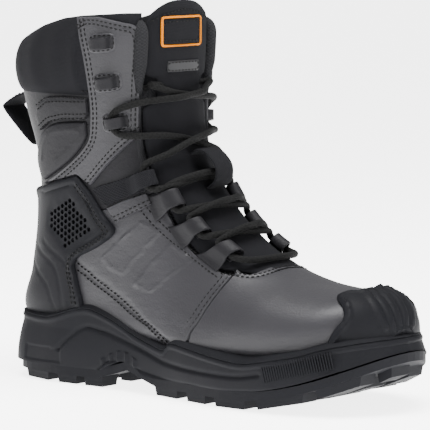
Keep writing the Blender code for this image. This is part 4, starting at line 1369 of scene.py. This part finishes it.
def make_webbing():
    """Pull loop at the back and lace keeper."""
    band("pull_loop_webbing", PULL_PATH, -11, 11, "pull_loop",
         ["pull_loop"], True)
    band("lace_keeper_webbing", KEEPER_PATH, -5, 13, "root",
         ["lace_keeper"], False)
    for y in (-9.3, 9.3):
        STITCHES["pull_loop"].append(np.array([
            (x, y, z) for x, z in even(smooth(
                [(-66, 193.6), (-76, 192), (-86, 187)], 6), 1.0)]) * MM)


# ------------------------------------------------------- moulded covers ----
def both_turns(line):
    """A line of places and its mirror image past the back."""
    return [line, np.array(line) * (1, -1) + (0, 360)]


def make_counter():
    """Heel cover with its border and grilles."""
    front = from_side(smooth(COUNTER_FRONT, 3))
    top = from_side([(-44, 131), (-30, 131), (-24, 133.5), (-8, 138)])
    bottom = np.array([(7.2, 132), (6.8, 142), (6.5, 160), (6.4, 180)])
    lower = np.vstack([front, bottom])
    rim = np.vstack([[(3.46, 180), (3.45, 170)], top])
    half = np.vstack([rim, lower])
    outline = np.vstack([half, both_turns(half[::-1])[1][1:-1]])
    polygon = np.array(GRILLE, float)
    middle = polygon.mean(0) + (1.0, 0)
    shrunk = middle + (polygon - middle) * (1.2, 1.0)
    steps = range(-8, 9)
    grid = np.array([middle + (j * HOLE_PITCH * ROW_DROP,
                               (i + j % 2 / 2) * HOLE_PITCH)
                     for i in steps for j in steps])
    grid = grid[inside(grid, shrunk)]
    angles = np.linspace(0, 2 * math.pi, 8, endpoint=False)
    circle = np.stack([np.cos(angles), np.sin(angles)], 1) * HOLE_RADIUS
    holes = [hole for spot in grid
             for hole in both_turns(from_side(spot + circle))]
    grille = from_side(smooth_loop(
        middle + (polygon - middle) * (1.34, 1.15), 2))
    grille = np.vstack([grille, grille[:1]])
    inner = from_side(smooth([(-23, 128), (7, 136.5), (20, 124.5),
                              (34, 108), (32, 105), (6, 88)], 1))
    inner_low = from_side(smooth([(2, 86), (4, 76), (9, 60), (12, 46)], 4))
    ribs = [smooth(g) for g in (
        [(4.62, 121), (5.35, 97), (5.9, 90.7), (6.45, 108)],
        [(4.66, 129), (5.36, 105.5), (5.98, 101.7), (6.5, 116)],
        [(4.9, 134.6), (5.64, 111.7), (6.12, 112), (6.5, 122)])]

    grooves = [groove for line in (inner, inner_low, *ribs)
               for groove in both_turns(line)]
    dishes = both_turns(grille)

    def relief(base, place, distance):
        flat = place * PAPER
        height = np.zeros(len(base))
        for loop in dishes:
            hollow = inside(flat, loop[:-1] * PAPER)
            chain = even(loop, 1.0, PAPER)
            off = nearest(base, surface(chain[:, 0], chain[:, 1])[0])
            height -= np.where(hollow, np.clip(off / 1.2, 0, 1) * 0.7, 0)
        low = np.clip((88 - base[:, 2]) / 42, 0, 1) ** 1.4
        rear = np.clip((14 - base[:, 0]) / 30, 0, 1)
        border = np.clip(2.4 - np.abs(distance - 2.8), 0, 1)
        return height + 0.6 * low * rear + 0.9 * border

    panel("heel_counter_moulding", outline, GAP, COUNTER, "moulding", 2.0,
          1.3, grooves=grooves, relief=relief, holes=holes,
          replaced=["heel_counter"])
    sew(front[1:-2], GAP + COUNTER + 0.9, both=True, rows=(3.8, 2.2))
    for side, dish in zip(SIDES, dishes):
        panel(f"grille_backing_{side}", dish[:-1], 0.02, 0.3, "hole", 3.0,
              0.2)
    sew(from_side([(-36, 128.5), (-23, 130), (8, 138.8), (15, 133)]),
        GAP + COUNTER + 0.15, both=True)


def make_bumper():
    """Ridged toe cover with a thick border."""
    rear = from_side(smooth([(212, 30), (222, 53), (226, 62), (223, 68),
                             (217, 71.5), (212, 73.5)], 4))
    over = smooth([tuple(rear[-1]), rear[-1] * (0.5, 0.6) + (5.36, 0),
                   (10.78, 12), (10.84, 0)], 5)
    half = np.vstack([rear, over[1:]])
    outline = np.vstack([
        half, mirrored(half)[::-1][1:],
        [(row, -112) for row in (11.6, 12.4, 13.2, 13.85)],
        [(13.95, turn) for turn in range(-96, 97, 8)],
        [(row, 112) for row in (13.85, 13.2, 12.4, 11.6)]])
    ridges = []
    for line in ([(10.35, 8), (11.2, 18), (11.9, 28), (12.6, 44)],
                 [(10.2, 0), (11.2, 8), (12.1, 16), (12.9, 32)],
                 [(10.1, -9), (11.2, -4), (12.1, 1), (13.0, 12)],
                 [(10.1, -18), (11.2, -18), (12.2, -17), (13.0, -12)],
                 [(10.3, -27), (11.2, -31), (12.0, -34), (12.8, -36)]):
        ridges.append(smooth(np.array(line) + (0.55, 0)))
    dense = [even(r, 0.7, PAPER) for r in ridges]
    spots = np.vstack([surface(d[:, 0], d[:, 1])[0] for d in dense])

    def relief(base, place, distance):
        lip = 1.2 * np.clip(1 - np.abs(distance - 3.2) / 1.8, 0, 1)
        off = nearest(base, spots)
        return lip + 1.0 * np.clip((2.6 - off) / 0.8, 0, 1) - 0.5

    panel("toe_cover_moulding", outline, GAP, BUMPER, "moulding", 1.9, 2.8,
          relief=relief, replaced=["toe_bumper"])


# --------------------------------------------------------------- the sole ----
def spring(x):
    """Rise of the sole towards the toe, in mm."""
    return TOE_SPRING * (np.maximum(0, x - SPRING_START)
                         / SPRING_LENGTH) ** 2


def arch(x):
    """Rise of the sole between heel and ball, in mm."""
    share = np.maximum(0, 1 - ((x - ARCH_MIDDLE) / ARCH_HALF) ** 2)
    return ARCH_RISE * share * share


def sole_loop():
    """Outline of the sole in mm, outer side first, with its normals."""
    plan = smooth(SOLE_PLAN, 12)
    loop = np.vstack([plan[:, (0, 1)], plan[::-1][1:-1][:, (0, 2)]])
    loop = even(np.vstack([loop, loop[:1]]), 1.25)[:-1]
    ahead = unit(np.roll(loop, -2, 0) - np.roll(loop, 2, 0))
    return loop, np.stack([ahead[:, 1], -ahead[:, 0]], 1)


GROOVE_INNER = [(-4, 24), (5, 32), (18, 40), (32, 39), (50, 35), (74, 29),
                (94, 24), (125, 22), (160, 22), (180, 25)]
GROOVE_LOW = [(-26, 9), (-4, 10), (14, 10), (29, 12), (41, 19), (60, 17),
              (79, 14), (100, 12), (120, 12), (139, 11.5), (157, 12),
              (181, 14), (202, 17), (222, 21), (238, 26), (251, 31)]


def line_distance(x, z, line):
    """Distance of side view places from a line, all in mm."""
    dense = even(smooth(line, 6), 0.8)
    spots = np.stack([x.ravel(), z.ravel()], 1)
    return nearest(spots, dense).reshape(x.shape)


def sole_bulge(x, z, low, high, shares, outer_side):
    """How far the sole's side wall stands out of its plan, in mm."""
    crown = 1.2 * np.sin(np.clip((z - 8) / 30, 0, 1) * math.pi)
    grooves = -sum(depth * np.exp(-(line_distance(x, z, line) / width) ** 2)
                   for line, depth, width in ((GROOVE_INNER, 1.5, 1.5),
                                              (GROOVE_LOW, 1.0, 1.2)))
    above = z - np.interp(x, *zip(*smooth(GROOVE_LOW, 4)))
    foot = 1.4 * np.clip(0.5 - above / 1.6, 0, 1)
    rim = 0.9 * np.sin(np.clip(1 - (high - z) / 4.0, 0, 1) * math.pi)
    toe_guard = 1.3 / (1 + np.exp(-(x - 232) / 0.8))
    toe_taper = -4.2 * np.clip((x - 215) / 30, 0, 1) * shares
    heel_flare = np.clip((-6 - x) / 30, 0, 1) * (1.6 - 4.6 * shares)
    waist = (x > 33) & (x < 70) & (z < low + 7)
    grip = 1.2 * waist * np.clip(np.sin((x - 33) / 37 * 10 * math.pi), 0, 1)
    recess = -0.7 * ((np.abs(x + 20) < 17) & (z > 14) & (z < 24)
                     & outer_side)
    return (crown + grooves + foot + rim + toe_guard + toe_taper
            + heel_flare + grip + recess)


def make_sole():
    """Side wall of the sole, with lip and grooves."""
    loop, out = sole_loop()
    edge_x, edge_z = zip(*smooth(SOLE_EDGE, 4))
    x = loop[:, 0][None]
    low = TREAD_TOP + spring(x) + arch(x)
    high = np.interp(x, edge_x, edge_z)
    shares = np.linspace(0, 1, 40)[:, None]
    z = low + (high - low) * shares
    x = np.broadcast_to(x, z.shape)
    bulge = sole_bulge(x, z, low, high, shares, loop[:, 1][None] < 0)
    wall = np.stack([loop[:, 0] + out[:, 0] * bulge,
                     loop[:, 1] + out[:, 1] * bulge, z], -1)
    lip = []
    top = bulge[-1][:, None]
    for inset, rise in SOLE_LIP:
        place = loop + out * (top - inset)
        level = np.maximum(high[0] + rise, low[0] + 1.0)
        lip.append(np.stack([place[:, 0], place[:, 1], level], -1))
    foot = loop - out * SOLE_WALL
    closing = [np.stack([foot[:, 0], foot[:, 1], low[0]], -1), wall[0]]
    rings = np.array([*wall, *lip, *closing]).swapaxes(0, 1)[:, :-1]
    rings = np.concatenate([rings, rings[:1]])
    weld(lattice("midsole_moulding", rings * MM, "rubber",
                 replaced=["midsole"], cap_ends=False))
    make_sole_ribs(loop, out)


def make_sole_ribs(loop, out):
    """Fine upright ribs in a band at the ball, on both sides."""
    sizes = bpy.context.scene.boot_sizes
    tree = repeat_tree("sole_rib_tree", "rib")
    for side, sign in SIDES.items():
        half = loop[:, 1] < 0 if sign > 0 else loop[:, 1] > 0
        chosen = half & (loop[:, 0] > RIB_START) & (loop[:, 0] < RIB_END)
        places = (loop + out * 0.9)[chosen]
        places = places[places[:, 0].argsort()]
        height = RIB_FOOT + RIB_SLOPE * (places[:, 0] - RIB_START - 3)
        line = np.stack([places[:, 0], places[:, 1], height], 1) * MM
        repeat_along(f"sole_ribs_{side}", tree, [line], sizes.rib_gap,
                     (1.5 * MM, 11 * MM, 0.8 * MM), "rubber")


# ----------------------------------------------------------- the inside ----
def make_inside():
    """Lining, footbed and the hidden solids."""
    rows = np.concatenate([np.linspace(2.0, 13, 90), [13.4, 13.7]])
    turns = np.linspace(0, 360, 72, endpoint=False)
    quilt = 0.35 * np.sin(rows * 9)[:, None] * np.cos(
        np.radians(turns * 9))[None]
    row_grid = np.repeat(rows[:, None], len(turns), 1)
    turn_grid = np.repeat(turns[None], len(rows), 0)
    outer = surface(row_grid, turn_grid, -4.6)[0]
    inner = surface(row_grid, turn_grid, -6.8 + quilt)[0]
    bm = bmesh.new()
    uv = bm.loops.layers.uv.new("UVMap")
    shells = [[[bm.verts.new(p * MM) for p in ring] for ring in wall]
              for wall in (outer, inner)]
    for shell in shells:
        wrap_faces(bm, uv, shell, lambda a, b: (rows[a] * 0.023,
                                                b * 0.0041))
        close_ring(bm, shell[-1])
    rims = [shell[0] for shell in shells]
    for k in range(len(turns)):
        n = (k + 1) % len(turns)
        bm.faces.new((rims[0][k], rims[0][n], rims[1][n], rims[1][k]))
    finish_piece("lining_bootee", bm, "lining", replaced=["lining"])

    side = [(row, 180 - spread) for row, spread in (
        (4.9, 0), (4.95, 22), (5.3, 36), (6.2, 44), (7.4, 44), (8.6, 48),
        (9.6, 52), (10.6, 52), (11.5, 48), (12.1, 38), (12.4, 20),
        (12.45, 0))]
    side = smooth(side, 4)
    bed = np.vstack([side, (side * (1, -1) + (0, 360))[::-1][1:-1]])
    panel("footbed_cushion", bed, -7.35, -4.0, "foam", 4.0, 2.5,
          replaced=["footbed"])
    for node, finish in (("steel_toe_cap", "steel"), ("shank", "steel"),
                         ("heel_stiffener", "board"),
                         ("puncture_board", "board"),
                         ("outsole", "rubber")):
        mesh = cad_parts[node].data
        mesh.materials.clear()
        mesh.materials.append(FINISH[finish])


def make_stitches():
    """Thread along every marked row."""
    sizes = bpy.context.scene.boot_sizes
    tree = repeat_tree("stitch_tree", "thread")
    size = (sizes.thread, sizes.thread, sizes.stitch_length)
    for body, lines in STITCHES.items():
        if lines:
            repeat_along(f"stitching_{body}", tree, lines, sizes.stitch_gap,
                         size, "thread", body)


# ------------------------------------------------------------- the stage ----
def add_light(name, place, aim, size, power):
    """Rectangular soft box that faces a point."""
    data = bpy.data.lights.new(name, "AREA")
    data.shape = "RECTANGLE"
    data.size, data.size_y = size
    data.energy = power
    light = bpy.data.objects.new(name, data)
    bpy.context.scene.collection.objects.link(light)
    light.location = place
    way = Vector(aim) - Vector(place)
    light.rotation_euler = way.to_track_quat("-Z", "Y").to_euler()


def make_stage():
    """Floor, air, lights and camera."""
    bpy.ops.mesh.primitive_plane_add(size=FLOOR_SIZE)
    floor = bpy.context.active_object
    floor.name = "studio_floor"
    material, tree, shader, where = begin("studio_white", 0.1)
    shader.inputs["Emission Color"].default_value = (1, 1, 1, 1)
    shader.inputs["Emission Strength"].default_value = FLOOR_GLOW
    tone = noise(tree, where.outputs["Object"], 1.5, 2)
    colour_between(tree, shader, tone, (0.86, 0.86, 0.86, 1),
                   (0.90, 0.90, 0.90, 1))
    shader.inputs["Roughness"].default_value = 0.9
    floor.data.materials.append(material)
    world = bpy.data.worlds.new("studio_air")
    bpy.context.scene.world = world
    world.use_nodes = True
    background = world.node_tree.nodes["Background"]
    background.inputs["Color"].default_value = (1, 1, 1, 1)
    background.inputs["Strength"].default_value = AIR_GLOW
    for name, place, size, power in LIGHTS:
        add_light(name, place, LIGHTS_AIM, size, power)

    camera_data = bpy.data.cameras.new("camera")
    camera_data.lens = CAMERA_LENS
    camera_data.sensor_width = 36
    camera_data.shift_x, camera_data.shift_y = CAMERA_SHIFT
    camera_data.clip_start, camera_data.clip_end = 0.05, 30
    camera = bpy.data.objects.new("camera", camera_data)
    bpy.context.scene.collection.objects.link(camera)
    camera.location = CAMERA_PLACE
    camera.rotation_euler = (-Vector(CAMERA_BACK)).to_track_quat(
        "-Z", "Y").to_euler()
    bpy.context.scene.camera = camera


# -------------------------------------------------------------- operators ----
class BOOT_OT_stage(bpy.types.Operator):
    """Make the finishes, the floor, the lights and the camera."""
    bl_idname = "boot.stage"
    bl_label = "Studio"

    def execute(self, context):
        make_finishes(context.scene.boot_sizes, context.scene.boot_colours)
        make_stage()
        return {"FINISHED"}


class BOOT_OT_laces(bpy.types.Operator):
    """Braid the held lace and its two free ends."""
    bl_idname = "boot.laces"
    bl_label = "Laces"

    def execute(self, context):
        make_laces()
        return {"FINISHED"}


class BOOT_OT_leather(bpy.types.Operator):
    """Cut and close the leather of the foot and the ankle."""
    bl_idname = "boot.leather"
    bl_label = "Leather Upper"

    def execute(self, context):
        make_leather()
        return {"FINISHED"}


class BOOT_OT_overlays(bpy.types.Operator):
    """Lay the facings, pads, strips and the back stay over the upper."""
    bl_idname = "boot.overlays"
    bl_label = "Overlays"

    def execute(self, context):
        make_overlays()
        return {"FINISHED"}


class BOOT_OT_holders(bpy.types.Operator):
    """Fold the tabs and bars that hold the lace."""
    bl_idname = "boot.holders"
    bl_label = "Lace Holders"

    def execute(self, context):
        make_holders()
        return {"FINISHED"}


class BOOT_OT_padding(bpy.types.Operator):
    """Pad the collar and the tongue."""
    bl_idname = "boot.padding"
    bl_label = "Collar and Tongue"

    def execute(self, context):
        make_collar()
        make_opening_rolls()
        make_tongue()
        return {"FINISHED"}


class BOOT_OT_webbing(bpy.types.Operator):
    """Weave the pull loop and the lace keeper."""
    bl_idname = "boot.webbing"
    bl_label = "Webbing"

    def execute(self, context):
        make_webbing()
        return {"FINISHED"}


class BOOT_OT_covers(bpy.types.Operator):
    """Mould the heel counter and the toe cover."""
    bl_idname = "boot.covers"
    bl_label = "Moulded Covers"

    def execute(self, context):
        make_counter()
        make_bumper()
        return {"FINISHED"}


class BOOT_OT_sole(bpy.types.Operator):
    """Mould the side wall of the sole and its ribs."""
    bl_idname = "boot.sole"
    bl_label = "Sole"

    def execute(self, context):
        make_sole()
        return {"FINISHED"}


class BOOT_OT_inside(bpy.types.Operator):
    """Fit the lining and the footbed, and finish the hidden parts."""
    bl_idname = "boot.inside"
    bl_label = "Inside"

    def execute(self, context):
        make_inside()
        return {"FINISHED"}


class BOOT_OT_stitches(bpy.types.Operator):
    """Sew every marked row of stitches."""
    bl_idname = "boot.stitches"
    bl_label = "Stitches"

    def execute(self, context):
        make_stitches()
        return {"FINISHED"}


STEPS = (BOOT_OT_stage, BOOT_OT_laces, BOOT_OT_leather, BOOT_OT_overlays,
         BOOT_OT_holders, BOOT_OT_padding, BOOT_OT_webbing, BOOT_OT_covers,
         BOOT_OT_sole, BOOT_OT_inside, BOOT_OT_stitches)


class BOOT_PT_panel(bpy.types.Panel):
    """Sidebar panel with the boot's steps and settings."""
    bl_idname = "BOOT_PT_panel"
    bl_label = "Work Boot"
    bl_space_type = "VIEW_3D"
    bl_region_type = "UI"
    bl_category = "Boot"

    def draw(self, context):
        for group in (context.scene.boot_sizes, context.scene.boot_colours):
            for name in group.__annotations__:
                self.layout.prop(group, name)
        for step in STEPS:
            self.layout.operator(step.bl_idname)


CLASSES = (BootSizes, BootColours, *STEPS, BOOT_PT_panel)


def register():
    for cls in CLASSES:
        bpy.utils.register_class(cls)
    bpy.types.Scene.boot_sizes = bpy.props.PointerProperty(type=BootSizes)
    bpy.types.Scene.boot_colours = bpy.props.PointerProperty(
        type=BootColours)


def unregister():
    del bpy.types.Scene.boot_colours
    del bpy.types.Scene.boot_sizes
    for cls in reversed(CLASSES):
        bpy.utils.unregister_class(cls)


def main():
    """Build the boot."""
    register()
    for step in STEPS:
        area, name = step.bl_idname.split(".")
        getattr(getattr(bpy.ops, area), name)()


if __name__ == "__main__":
    main()
